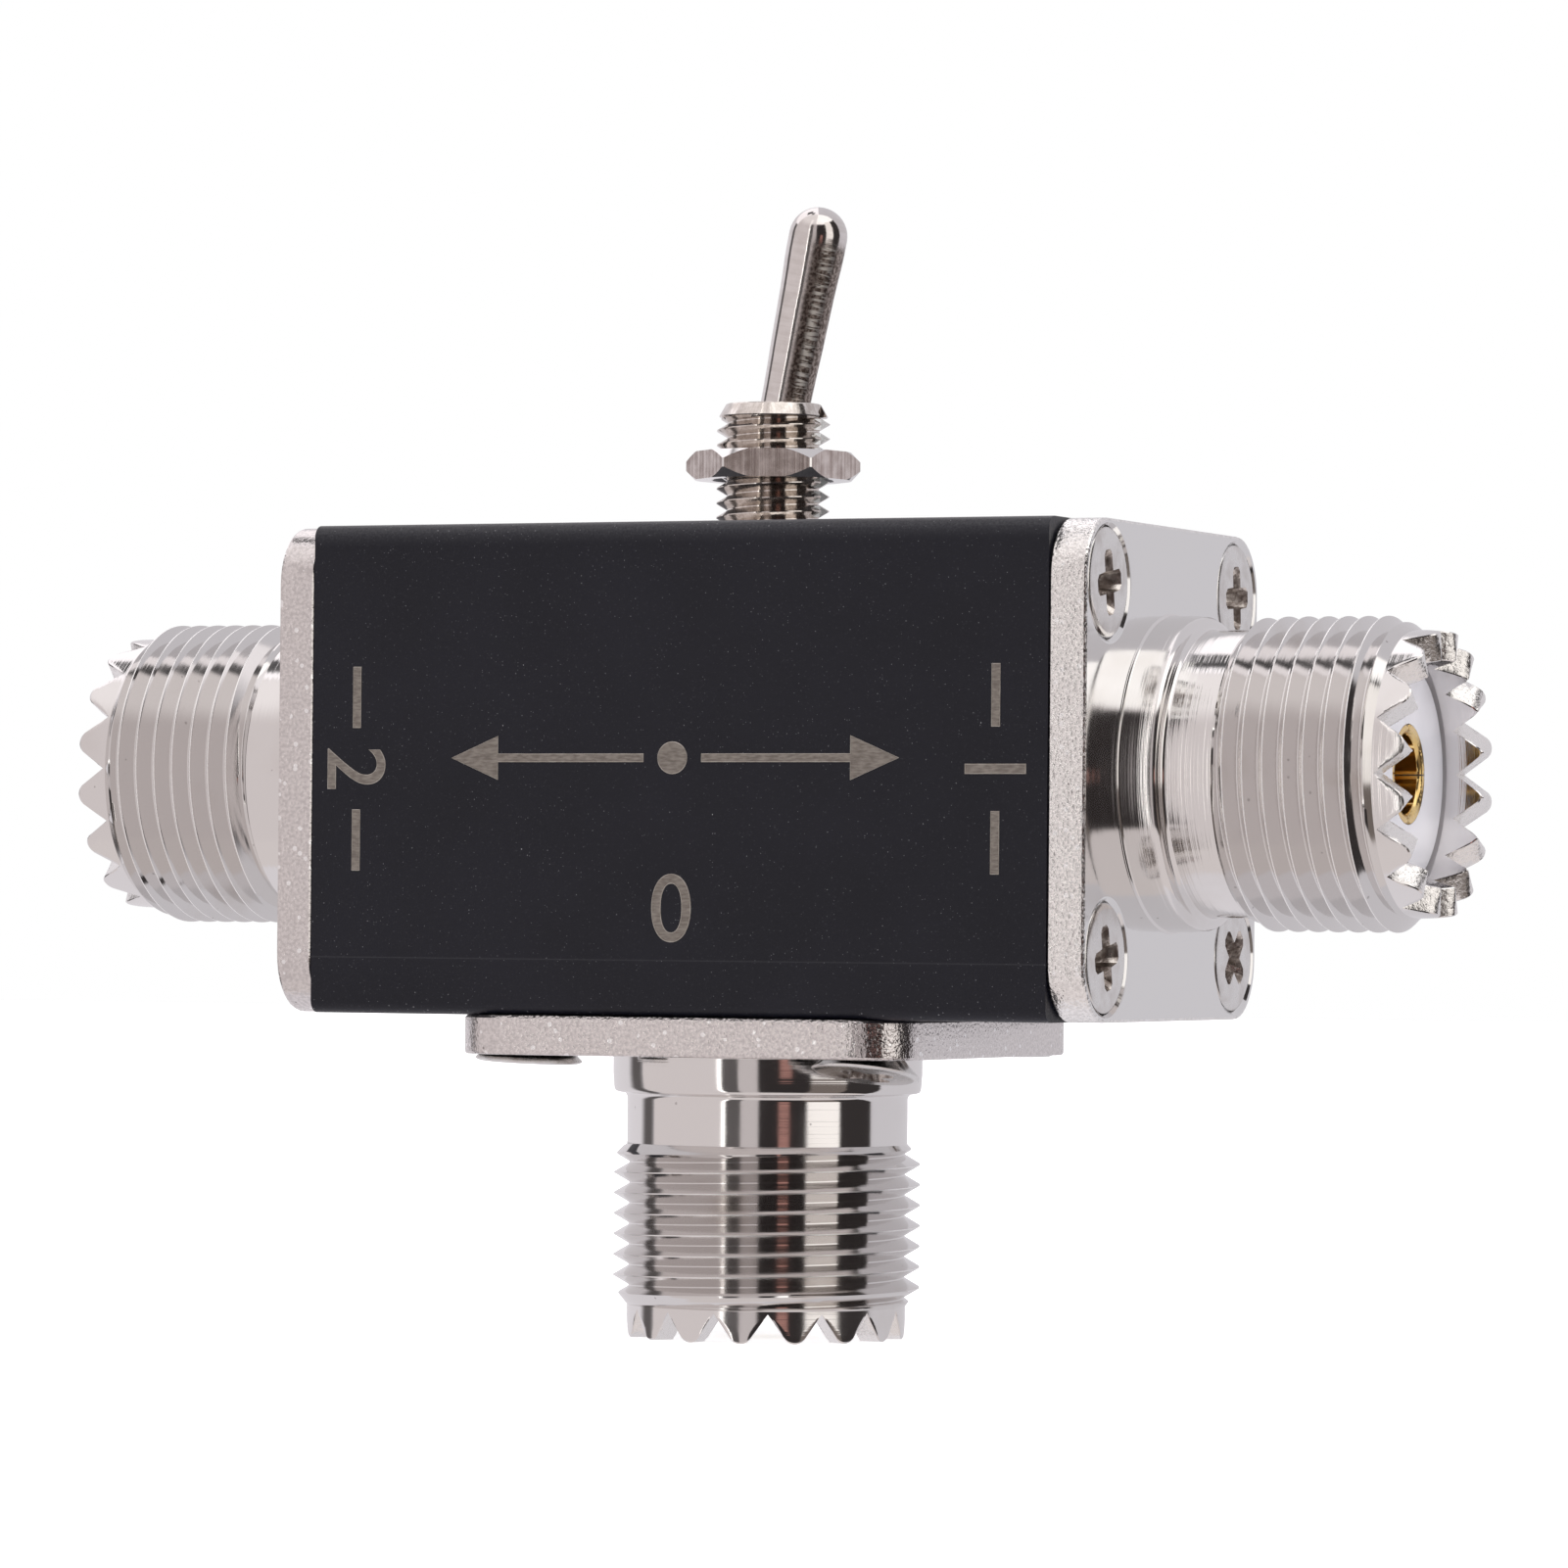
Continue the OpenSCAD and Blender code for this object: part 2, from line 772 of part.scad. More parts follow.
module common_terminal() {
    color(gold) {
        terminal_blade(0, rocker_z);
        // Round top edge that the rocker turns on
        translate([0, terminal_w / 2, rocker_z])
            rotate([90, 0, 0])
                cylinder(r = terminal_round_r, h = terminal_w);
    }
}

module throw_terminal(side) {
    color(gold)
        terminal_blade(side * terminal_pitch, throw_top_z);
}

// ---- Wires --------------------------------------------------------------------

// Solder that fills a contact's cup round the wire's end, in the socket's frame
module solder_fill() {
    translate([0, 0, cup_end_z])
        cylinder(r = cup_bore_d / 2 - seat_gap, h = cup_l / 2);
}

// Wire from an end port's cup, down to the throw terminal and through its eye
module port_wire(side) {
    cup_x = housing_l / 2 + cup_end_z;
    wire([
        [side * (cup_x + wire_in_solder), 0, port_z],
        [side * (cup_x - wire_straight), 0, port_z],
        [side * (case_l / 2 + wire_straight), 0, eye_z],
        [side * (terminal_pitch - terminal_t / 2 - past_eye), 0, eye_z]], wire_r);
}

module port_1_wire() {
    color(tinned_copper) {
        port_wire(1);
        at_port_1() solder_fill();
    }
}

module port_2_wire() {
    color(tinned_copper) {
        port_wire(-1);
        at_port_2() solder_fill();
    }
}

// Wire from the common cup, up beside the common terminal's blade
module common_wire() {
    beside_x = terminal_t / 2 + wire_r + seat_gap;
    color(tinned_copper) {
        wire([
            [0, 0, cup_top_z - wire_in_solder],
            [0, 0, cup_top_z + bend_room],
            [beside_x, 0, tail_z - bend_room],
            [beside_x, 0, case_bottom_z - 2 * bend_room]], wire_r);
        at_common() solder_fill();
    }
}

// ---- Assembly -----------------------------------------------------------------

housing();
at_port_1() socket(port_1_turn, 0);  // port_1_socket
at_port_1() insulator();  // port_1_insulator
at_port_1() contact();  // port_1_contact
at_port_1() flange_screws(0);  // port_1_screws
at_port_2() socket(port_2_turn, 0);  // port_2_socket
at_port_2() insulator();  // port_2_insulator
at_port_2() contact();  // port_2_contact
at_port_2() flange_screws(0);  // port_2_screws
at_common() socket(common_turn, common_screw_proud);  // common_socket
at_common() insulator();  // common_insulator
at_common() contact();  // common_contact
at_common() flange_screws(common_screw_proud);  // common_screws
toggle_bushing();
hex_nut();
toggle_lever();
lever_pin();
plunger();
plunger_spring();
rocker_contact();
switch_bracket();
switch_case();
common_terminal();
throw_terminal(1);  // port_1_terminal
throw_terminal(-1);  // port_2_terminal
common_wire();
port_1_wire();
port_2_wire();
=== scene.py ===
# Two-way coaxial antenna switch: the looks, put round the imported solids.
# Shapes are in millimetres and become metres where a mesh takes its place; the studio's
# and the materials' own numbers are in metres.
# X runs from port 2 to port 1, Z is up, and the marked front face looks towards -Y.
import math

import bmesh
import bpy
from mathutils import Matrix, Vector


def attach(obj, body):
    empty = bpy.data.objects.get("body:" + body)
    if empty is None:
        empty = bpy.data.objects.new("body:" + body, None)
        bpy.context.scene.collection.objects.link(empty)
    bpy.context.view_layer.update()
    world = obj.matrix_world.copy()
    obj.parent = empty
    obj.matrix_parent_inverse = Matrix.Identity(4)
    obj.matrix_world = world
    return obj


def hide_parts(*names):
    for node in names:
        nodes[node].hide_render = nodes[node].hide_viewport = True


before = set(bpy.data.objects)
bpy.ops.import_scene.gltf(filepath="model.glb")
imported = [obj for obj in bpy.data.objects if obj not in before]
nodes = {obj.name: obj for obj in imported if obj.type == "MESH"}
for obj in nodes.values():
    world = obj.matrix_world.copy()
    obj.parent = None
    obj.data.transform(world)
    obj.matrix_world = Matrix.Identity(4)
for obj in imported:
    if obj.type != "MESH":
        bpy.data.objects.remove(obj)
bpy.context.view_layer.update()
MM = 0.001

# ---- Camera -------------------------------------------------------------------
# Long lens, a little right of the front and a hair below the middle of the housing,
# as the photograph's lines and screw centres gave it.
camera_azimuth = math.radians(23.343)
camera_elevation = math.radians(-1.098)
camera_roll = math.radians(0.503)
camera_distance = 385.05 * MM
port_z = 29.1

camera_back = Vector((
    math.sin(camera_azimuth) * math.cos(camera_elevation),
    -math.cos(camera_azimuth) * math.cos(camera_elevation),
    math.sin(camera_elevation)))
level_right = Vector((math.cos(camera_azimuth), math.sin(camera_azimuth), 0))
level_up = camera_back.cross(level_right)
camera_right = level_right * math.cos(camera_roll) + level_up * math.sin(camera_roll)
camera_up = level_up * math.cos(camera_roll) - level_right * math.sin(camera_roll)


def link_object(name, data):
    """Object of a data-block, linked to the scene."""
    item = bpy.data.objects.new(name, data)
    bpy.context.scene.collection.objects.link(item)
    return item


camera_data = bpy.data.cameras.new("camera")
camera_data.sensor_width = 36
camera_data.lens = 170.72
camera_data.shift_x = 0.0086
camera_data.shift_y = -0.0064
camera_data.clip_start = 0.01
camera = link_object("camera", camera_data)
camera.matrix_world = Matrix.Translation(
    Vector((0, 0, port_z * MM)) + camera_back * camera_distance
) @ Matrix((camera_right, camera_up, camera_back)).transposed().to_4x4()
bpy.context.scene.camera = camera

# ---- Studio -------------------------------------------------------------------
# A white light tent with dark gaps between its soft boxes, which the bright plating
# mirrors, and a plain pale floor. Angles of the gaps count from the camera's side.
bpy.context.scene.view_settings.view_transform = "Standard"

# Each panel: azimuth from and to, elevation from and to, edge softness, in degrees, colour
TENT_CLOTH = (0.74, 0.685, 0.68)
TENT_PANELS = (
    (94, 185, -90, 90, 2, (0.67, 0.65, 0.68)),
    (-185, -107, -90, 90, 2, (0.78, 0.75, 0.78)),
    (-124, -107, -40, 45, 5, (0.12, 0.11, 0.11)),
    (-107, -38, -50, 50, 0.7, (0.72, 0.665, 0.665)),
    (-107, -12, 44, 100, 9, (1.0, 0.95, 0.95)),
    (-185, -107, 30, 100, 3, (1.3, 1.25, 1.28)),
    (-12, 94, 44, 90, 1, (1.45, 1.42, 1.40)),
    (-5, 82, -38, -6, 2, (0.19, 0.16, 0.145)),
    (-38, -35, -38, 60, 0.7, (2.2, 2.15, 2.1)),
    (-35, -22, -38, 42, 0.7, (0.12, 0.11, 0.11)),
    (-22, -7.5, -38, 42, 0.7, (0.60, 0.55, 0.55)),
    (-7.5, 32.5, -38, 42, 0.7, (0.035, 0.03, 0.03)),
    (9, 17.5, -6, 1.8, 0.7, (0.42, 0.22, 0.19)),
    (32.5, 61.5, -6, 50, 0.7, (1.15, 1.10, 1.06)),
    (61.5, 94, -38, 50, 0.7, (0.04, 0.035, 0.035)),
)
MIN_ELEVATION_SOFT = 1.2
# Dark gaps across the roof: roll about X from and to, in degrees, and the reach along X
ROOF_GAPS = ((4, 21, -0.51, -0.31), (-2, 9, -0.31, -0.19))
ROOF_GAP_DEPTH, ROLL_SOFT, REACH_SOFT = 0.93, 2, 0.015


class Term:
    """A node's output; sums with other terms and with numbers add Math nodes."""

    def __init__(self, socket):
        self.socket = socket
        self.tree = socket.id_data

    def do(self, operation, *others):
        return calc(self.tree, operation, self, *others)

    def __add__(self, other):
        return self.do("ADD", other)

    def __sub__(self, other):
        return self.do("SUBTRACT", other)

    def __rsub__(self, other):
        return calc(self.tree, "SUBTRACT", other, self)

    def __mul__(self, other):
        return self.do("MULTIPLY", other)

    def __truediv__(self, other):
        return self.do("DIVIDE", other)


def feed(socket, value):
    """Links a term or an output to an input, or gives the input a value of its own."""
    if isinstance(value, Term):
        value = value.socket
    if isinstance(value, bpy.types.NodeSocket):
        socket.id_data.links.new(value, socket)
    elif socket.type == "RGBA":
        socket.default_value = (*value, 1.0)
    else:
        socket.default_value = value


def add_node(tree, kind, inputs=None, **settings):
    """A node with its settings, and its inputs fed by name or number."""
    node = tree.nodes.new(kind)
    for key, value in settings.items():
        setattr(node, key, value)
    for key, value in (inputs or {}).items():
        feed(node.inputs[key], value)
    return node


def calc(tree, operation, *values):
    """Math node on terms and numbers."""
    return Term(add_node(tree, "ShaderNodeMath", dict(enumerate(values)), operation=operation).outputs[0])


def smooth_step(value, low, high, start=0.0, end=1.0):
    """Smooth rise from start, where the value is low, to end, where it is high."""
    node = add_node(
        value.tree, "ShaderNodeMapRange",
        {"Value": value, "From Min": low, "From Max": high, "To Min": start, "To Max": end},
        interpolation_type="SMOOTHSTEP")
    return Term(node.outputs["Result"])


def band(value, low, high, soft):
    """1 between low and high, 0 outside, with soft edges."""
    return smooth_step(value, low - soft, low + soft) * smooth_step(value, high - soft, high + soft, 1.0, 0.0)


def arc_band(value, *degrees):
    """The same for an angle, with its limits in degrees."""
    return band(value, *(math.radians(a) for a in degrees))


def blend_colour(factor, first, second):
    """Mix of two colours, each an output or a plain colour."""
    node = add_node(factor.tree, "ShaderNodeMix", {0: factor, 6: first, 7: second}, data_type="RGBA")
    return Term(node.outputs[2])


def new_material(name, metallic, roughness, **more):
    """Material and its Principled shader; an underscore in a keyword stands for a space."""
    material = bpy.data.materials.new(name)
    material.use_nodes = True
    shader = material.node_tree.nodes["Principled BSDF"]
    for key, value in {"Metallic": metallic, "Roughness": roughness, **more}.items():
        feed(shader.inputs[key.replace("_", " ")], value)
    return material, shader


tent = bpy.data.worlds.new("light_tent")
bpy.context.scene.world = tent
tent.use_nodes = True
wt = tent.node_tree
wt.nodes.clear()
direction = wt.nodes.new("ShaderNodeTexCoord").outputs["Generated"]


def along(axis):
    """How far the direction points along an axis."""
    node = add_node(wt, "ShaderNodeVectorMath", {0: direction, 1: axis}, operation="DOT_PRODUCT")
    return Term(node.outputs["Value"])


front = Vector((camera_back.x, camera_back.y, 0)).normalized()
azimuth = along(level_right).do("ARCTAN2", along(front))
elevation = along((0, 0, 1)).do("ARCSINE")
roof_angle = along((0, 1, 0)).do("ARCTAN2", along((0, 0, 1)))
tent_colour = TENT_CLOTH
for from_az, to_az, from_el, to_el, soft, colour in TENT_PANELS:
    panel = (arc_band(azimuth, from_az, to_az, soft)
             * arc_band(elevation, from_el, to_el, max(soft, MIN_ELEVATION_SOFT)))
    tent_colour = blend_colour(panel, tent_colour, colour)
light = 1.0
for from_roll, to_roll, from_x, to_x in ROOF_GAPS:
    gap = arc_band(roof_angle, from_roll, to_roll, ROLL_SOFT) * band(along((1, 0, 0)), from_x, to_x, REACH_SOFT)
    light = light - gap * ROOF_GAP_DEPTH
seen = add_node(wt, "ShaderNodeBackground", {"Color": (1, 1, 1)})
mirrored = add_node(wt, "ShaderNodeBackground", {"Color": tent_colour, "Strength": light})
either = add_node(wt, "ShaderNodeMixShader", {
    0: wt.nodes.new("ShaderNodeLightPath").outputs["Is Camera Ray"],
    1: mirrored.outputs[0], 2: seen.outputs[0]})
add_node(wt, "ShaderNodeOutputWorld", {"Surface": either.outputs[0]})


def soft_box(name, place, aim, side_length, power):
    """Square area lamp that looks at a point."""
    data = bpy.data.lights.new(name, "AREA")
    data.size = side_length
    data.energy = power
    lamp = link_object(name, data)
    lamp.location = place
    lamp.visible_glossy = False
    lamp.rotation_euler = (Vector(place) - Vector(aim)).to_track_quat("Z", "Y").to_euler()


object_middle = (0, 0, 0.03)
soft_box("key_box", (-0.45, -0.35, 0.55), object_middle, 0.35, 2.2)
soft_box("fill_box", (0.55, 0.1, 0.4), object_middle, 0.3, 1.2)

FLOOR_HALF = 1.2
floor_mesh = bpy.data.meshes.new("floor")
floor_mesh.from_pydata([(x * FLOOR_HALF, y * FLOOR_HALF, 0) for x, y in ((-1, -1), (1, -1), (1, 1), (-1, 1))],
                       [], [(0, 1, 2, 3)])
floor = link_object("floor", floor_mesh)
floor_paint, _ = new_material(
    "floor_paint", 0.0, 0.9, Base_Color=(0.9, 0.9, 0.9), Specular_IOR_Level=0.0,
    Emission_Color=(1, 1, 1), Emission_Strength=0.7)
floor_mesh.materials.append(floor_paint)
floor.visible_glossy = False

# ---- Housing ------------------------------------------------------------------
# Square aluminium tube, satin black anodised, with rounded long edges, a painted highlight along
# the top and fine dust. The imported solid's shape, with its plain bevels turned into rounds.


def new_tree(kind, name, inputs, output, output_kind):
    """Node group; each input is a number, a vector or the kind of a data-block. Returns
    the tree, its inputs as terms, and its output."""
    tree = bpy.data.node_groups.new(name, kind)
    for label, value in inputs.items():
        own_kind = {float: "Float", int: "Int", tuple: "Vector"}.get(type(value), value)
        socket = tree.interface.new_socket(label, in_out="INPUT", socket_type="NodeSocket" + own_kind)
        if own_kind != value:
            socket.default_value = value
    tree.interface.new_socket(output, in_out="OUTPUT", socket_type="NodeSocket" + output_kind)
    ins = {key: Term(socket) for key, socket in tree.nodes.new("NodeGroupInput").outputs.items()}
    return tree, ins, tree.nodes.new("NodeGroupOutput").inputs[0]


# Dust and tiny pits: a mask of small dots, on few of the cells
specks, ins, mask = new_tree(
    "ShaderNodeTree", "specks", {"Vector": (0, 0, 0), "Scale": 1500.0, "Size": 0.12, "Share": 0.1},
    "Mask", "Float")
cells = add_node(specks, "ShaderNodeTexVoronoi", {"Vector": ins["Vector"], "Scale": ins["Scale"]})
chosen = add_node(specks, "ShaderNodeSeparateColor", {0: cells.outputs["Color"]}).outputs
dot_size = ins["Size"] * (Term(chosen[1]) + 0.4)
dots = Term(cells.outputs["Distance"]).do("LESS_THAN", dot_size)
feed(mask, dots * Term(chosen[0]).do("LESS_THAN", ins["Share"]))

# Grain: noise that can be stretched along one axis, from -1 to 1
grain, ins, value = new_tree(
    "ShaderNodeTree", "grain", {"Vector": (0, 0, 0), "Stretch": (1, 1, 1), "Scale": 1000.0, "Detail": 3.0},
    "Value", "Float")
stretched = add_node(grain, "ShaderNodeVectorMath", {0: ins["Vector"], 1: ins["Stretch"]}, operation="MULTIPLY")
noise = add_node(grain, "ShaderNodeTexNoise", {
    "Vector": stretched.outputs[0], "Scale": ins["Scale"], "Detail": ins["Detail"]})
feed(value, Term(noise.outputs[0]) * 2.0 - 1.0)


def object_coords(shader):
    return shader.id_data.nodes.new("ShaderNodeTexCoord").outputs["Object"]


def texture(shader, group, vector=None, **values):
    """Specks or grain in a shader's material, on the Object coordinates or a given vector."""
    node = add_node(shader.id_data, "ShaderNodeGroup", node_tree=group)
    feed(node.inputs["Vector"], object_coords(shader) if vector is None else vector)
    for key, value in values.items():
        feed(node.inputs[key], value)
    return Term(node.outputs[0])


def axes(vector):
    """The three parts of a vector output, as terms."""
    return [Term(part) for part in add_node(vector.id_data, "ShaderNodeSeparateXYZ", {0: vector}).outputs]


def look(shader, colour=None, roughness=None, bump=None):
    """Feeds a shader; the bump is a height, a strength and a distance in millimetres."""
    if colour is not None:
        feed(shader.inputs["Base Color"], colour)
    if roughness is not None:
        feed(shader.inputs["Roughness"], roughness)
    if bump is not None:
        height, strength, distance = bump
        node = add_node(shader.id_data, "ShaderNodeBump", {
            "Strength": strength, "Distance": distance * MM, "Height": height})
        feed(shader.inputs["Normal"], node.outputs[0])


def dress(node, material):
    """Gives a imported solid's own mesh its finished material."""
    slots = nodes[node].data.materials
    slots.clear()
    slots.append(material)


anodised, shader = new_material("black_anodised", 0.0, 0.5, Specular_IOR_Level=0.32)
dust = texture(shader, specks, Scale=8000.0, Size=0.24, Share=0.09)
lint = texture(shader, specks, Scale=1800.0, Size=0.045, Share=0.03)
mottle = texture(shader, grain, Scale=160.0, Detail=4.0)
blasted = texture(shader, grain, Scale=9000.0)
black = blend_colour(smooth_step(mottle, -0.5, 0.5), (0.0028, 0.0031, 0.007), (0.0042, 0.0045, 0.0095))
black = blend_colour(smooth_step(blasted, 0.15, 0.6), black, (0.02, 0.02, 0.026))
# Painted highlight along the top edge and across the top face, patchy with the grain, and a fine drawing line
# low on the walls, in metres
highlight_from, highlight_to, line_low, line_high, line_soft = 0.0404, 0.0418, 0.01943, 0.01949, 0.00002
height = axes(object_coords(shader))[2]
# Painted highlight: lighter towards the top of the housing
top_highlight = smooth_step(height, highlight_from, highlight_to) * smooth_step(blasted, -0.5, 0.5, 0.35, 1.0)
drawn_line = band(height, line_low, line_high, line_soft) * 0.25
# One lighter colour serves the painted highlight on top and the drawing line
black = blend_colour(top_highlight.do("MAXIMUM", drawn_line), black, (0.05, 0.05, 0.056))
look(shader, blend_colour((dust * 0.2).do("MAXIMUM", lint * 0.7), black, (0.5, 0.5, 0.53)),
     smooth_step(blasted, -0.6, 0.6, 0.3, 0.5), (blasted, 0.5, 0.015))


def tidy_mesh(mesh, sharp_degrees=32.0):
    """Merges doubles, drops faces without area, turns normals out and shades smoothly."""
    bm = bmesh.new()
    bm.from_mesh(mesh)
    bmesh.ops.remove_doubles(bm, verts=bm.verts, dist=1e-4)
    bmesh.ops.dissolve_degenerate(bm, edges=bm.edges, dist=1e-5)
    bmesh.ops.recalc_face_normals(bm, faces=bm.faces)
    for face in bm.faces:
        face.smooth = True
    bm.to_mesh(mesh)
    bm.free()
    mesh.set_sharp_from_angle(angle=math.radians(sharp_degrees))
    return mesh


def add_piece(name, meshes, place, body, replaced=()):
    """Joins meshes in millimetres, puts them in place in metres and lets them ride."""
    bm = bmesh.new()
    materials = []
    for mesh in meshes:
        own = list(mesh.materials)
        for m in own:
            if m not in materials:
                materials.append(m)
        start = len(bm.faces)
        bm.from_mesh(mesh)
        bm.faces.ensure_lookup_table()
        for face in bm.faces[start:]:
            face.material_index = materials.index(own[face.material_index]) if own else 0
    joined = bpy.data.meshes.new(name)
    bm.to_mesh(joined)
    bm.free()
    for m in materials:
        joined.materials.append(m)
    joined.transform(Matrix.Scale(MM, 4) @ place)
    piece = link_object(name, joined)
    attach(piece, body)
    if replaced:
        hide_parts(*replaced)


def mesh_of(name, points, faces, material, material_of=None):
    """Mesh with one material, or with several that a function of the face shares out."""
    mesh = bpy.data.meshes.new(name)
    mesh.from_pydata(points, [], faces)
    for m in material if isinstance(material, (list, tuple)) else (material,):
        mesh.materials.append(m)
    if material_of:
        for polygon in mesh.polygons:
            polygon.material_index = material_of(polygon)
    return mesh


def plain_mesh(item):
    """Mesh of an object with its modifiers at work; the object goes."""
    shown = item.evaluated_get(bpy.context.evaluated_depsgraph_get())
    mesh = bpy.data.meshes.new_from_object(shown)
    item.modifiers.clear()
    bpy.data.objects.remove(item)
    return mesh


def combine(mesh, tool_mesh, operation, sharp_degrees):
    """Boolean of two closed meshes."""
    body, tool = link_object("body", mesh), link_object("tool", tool_mesh)
    cut = body.modifiers.new("cut", "BOOLEAN")
    cut.operation = operation
    cut.solver = "EXACT"
    cut.material_mode = "TRANSFER"
    cut.object = tool
    result_mesh = tidy_mesh(plain_mesh(body), sharp_degrees)
    bpy.data.objects.remove(tool)
    return result_mesh


def loft(name, outlines, material, sharp_degrees=32.0):
    """Closed solid through outlines of equally many points, flat at both ends."""
    count, last = len(outlines[0]), len(outlines) - 1
    faces = [(i * count + j, i * count + (j + 1) % count,
              (i + 1) * count + (j + 1) % count, (i + 1) * count + j)
             for i in range(last) for j in range(count)]
    faces += [tuple(reversed(range(count))), tuple(range(last * count, (last + 1) * count))]
    return tidy_mesh(mesh_of(name, sum(outlines, []), faces, material), sharp_degrees)


def packed_copy(node, material, place=Matrix.Identity(4)):
    """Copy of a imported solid's mesh in millimetres, in the frame of a place."""
    mesh = nodes[node].data.copy()
    mesh.transform(place.inverted() @ Matrix.Scale(1 / MM, 4))
    mesh.materials.clear()
    mesh.materials.append(material)
    return tidy_mesh(mesh)


QUARTERS = ((1, 1), (-1, 1), (-1, -1), (1, -1))
housing_l, housing_w, round_r, face_inset = 40.4, 25.0, 0.75, 0.03
corner_steps, flat_support = 8, 0.2
section = []
for quarter, (side_y, side_z) in enumerate(QUARTERS):
    # A support point on the flat, beyond each end of the round, keeps the flats' shading flat
    for k in range(-1, corner_steps + 2):
        a = math.radians(90 * quarter + 90 * min(max(k, 0), corner_steps) / corner_steps)
        along_flat = flat_support * ((k > corner_steps) - (k < 0))
        reach = housing_w / 2 - round_r
        y = side_y * reach + round_r * math.cos(a) - along_flat * math.sin(a)
        z = side_z * reach + round_r * math.sin(a) + along_flat * math.cos(a)
        section.append((max(y, face_inset - housing_w / 2), port_z + z))
rounded = loft("rounded", [[(x, y, z) for y, z in section] for x in (-housing_l / 2, housing_l / 2)], anodised)
add_piece("anodised_housing", [combine(packed_copy("housing", anodised), rounded, "INTERSECT", 20.0)],
          Matrix.Identity(4), "root", ["housing"])

# ---- Sockets ------------------------------------------------------------------
# Each is one nickel-plated casting: a square flange with sandy edges and a bright face,
# and a turned barrel with ring, neck, 24-to-the-inch thread and a crown of sixteen teeth.
flange_t, flange_corner_r, flange_break = 2.0, 3.0, 0.14
hole_pitch, screw_r, head_r = 18.6, 1.5, 2.75
ring_r, neck_r = 8.0, 7.25
thread_from, crown_foot, mouth_z = 6.6, 14.95, 16.6
crest_r, crown_r, bore_r, spigot_r = 7.925, 7.2, 5.73, 4.78
tooth_count, tooth_h, notch_half = 16, 1.5, 1.05


def turn(degrees, axis):
    return Matrix.Rotation(math.radians(degrees), 4, axis)


socket_places = {
    "port_1": Matrix.Translation((housing_l / 2, 0, port_z)) @ turn(90, "Y"),
    "port_2": Matrix.Translation((-housing_l / 2, 0, port_z)) @ turn(-90, "Y"),
    "common": Matrix.Translation((0, 0, port_z - housing_w / 2)) @ turn(180, "X"),
}
crown_turns = {"port_1": 12.1, "port_2": 12.3, "common": 9.6}


def geometry_tree(name, inputs):
    """Geometry Nodes tree with named inputs."""
    return new_tree("GeometryNodeTree", name, {"Geometry": "Geometry", **inputs}, "Geometry", "Geometry")


def coat(geometry, material, selection=True):
    """Realizes the instances and sets their material."""
    plain = add_node(geometry.id_data, "GeometryNodeRealizeInstances", {"Geometry": geometry})
    return add_node(geometry.id_data, "GeometryNodeSetMaterial", {
        "Geometry": plain.outputs[0], "Selection": selection, "Material": material}).outputs[0]


def grow(tree, values, points=()):
    """Runs a Geometry Nodes tree with the values by input name; returns the plain mesh."""
    seed_mesh = bpy.data.meshes.new("seed")
    seed_mesh.from_pydata([p[0] for p in points], [], [])
    if points and len(points[0]) > 1:
        layer = seed_mesh.attributes.new("lie", "FLOAT_VECTOR", "POINT")
        for item, point in zip(layer.data, points):
            item.vector = point[1]
    seed = link_object("seed", seed_mesh)
    modifier = seed.modifiers.new("grow", "NODES")
    modifier.node_group = tree
    for item in tree.interface.items_tree:
        if item.in_out == "INPUT" and item.name in values:
            modifier[item.identifier] = values[item.name]
    seed.update_tag()
    mesh = plain_mesh(seed)
    bpy.data.meshes.remove(seed_mesh)
    return mesh


# Screw thread as a closed sleeve: a grid is wrapped round the axis with its rows on the
# helix, so crest and root are clean narrow flats, and both ends are trimmed and chamfered.
FLANK_STEPS = 5
STEPS = 2 * (FLANK_STEPS + 1)
WELD_DISTANCE, CREST_DEPTH = 0.0005, 0.01
thread_tree, sizes, result = geometry_tree("screw_thread", {
    "Crest Radius": 1.0, "Root Radius": 0.9, "Inner Radius": 0.8, "Pitch": 0.1, "Start": 0.0,
    "End": 1.0, "Start Radius": 0.9, "End Radius": 0.9, "End Slope": 1.0, "Flat Share": 0.06,
    "Columns": 128, "Material": "Material", "Crest Material": "Material"})
start, end, pitch, crest, root, flat = (
    sizes[key] for key in ("Start", "End", "Pitch", "Crest Radius", "Root Radius", "Flat Share"))
row_count = (((end - start) / pitch + 1.0) * STEPS).do("CEIL") + 4.0
sheet = add_node(thread_tree, "GeometryNodeMeshGrid", {
    "Vertices X": sizes["Columns"] + 1.0, "Vertices Y": row_count, "Size X": 1.0, "Size Y": 1.0})
sheet_x, sheet_y, _ = axes(thread_tree.nodes.new("GeometryNodeInputPosition").outputs[0])
round_share = sheet_x + 0.5
row = ((sheet_y + 0.5) * (row_count - 1.0)).do("ROUND")
helix_row = row - 1.0
half_turn = ((helix_row + 0.001) / (STEPS / 2)).do("FLOOR")
step = helix_row - half_turn * (STEPS / 2)
fall = (step - 1.0).do("MAXIMUM", 0.0) / FLANK_STEPS
is_rising = (half_turn / 2.0).do("FRACT") * 2.0
ridge = (1.0 - fall - is_rising).do("ABSOLUTE")
pitches = half_turn * 0.5 + step.do("MINIMUM", 1.0) * flat + fall * (0.5 - flat)
height = (start + (pitches - 1.0 + round_share) * pitch).do("MINIMUM", end).do("MAXIMUM", start)
radius = root + ridge * (crest - root)
radius = radius.do("MINIMUM", sizes["Start Radius"] + (height - start))
radius = radius.do("MINIMUM", sizes["End Radius"] + (end - height) * sizes["End Slope"])


def pick(choice, otherwise, chosen):
    """The chosen term where the choice is 1."""
    return otherwise * (1.0 - choice) + chosen * choice


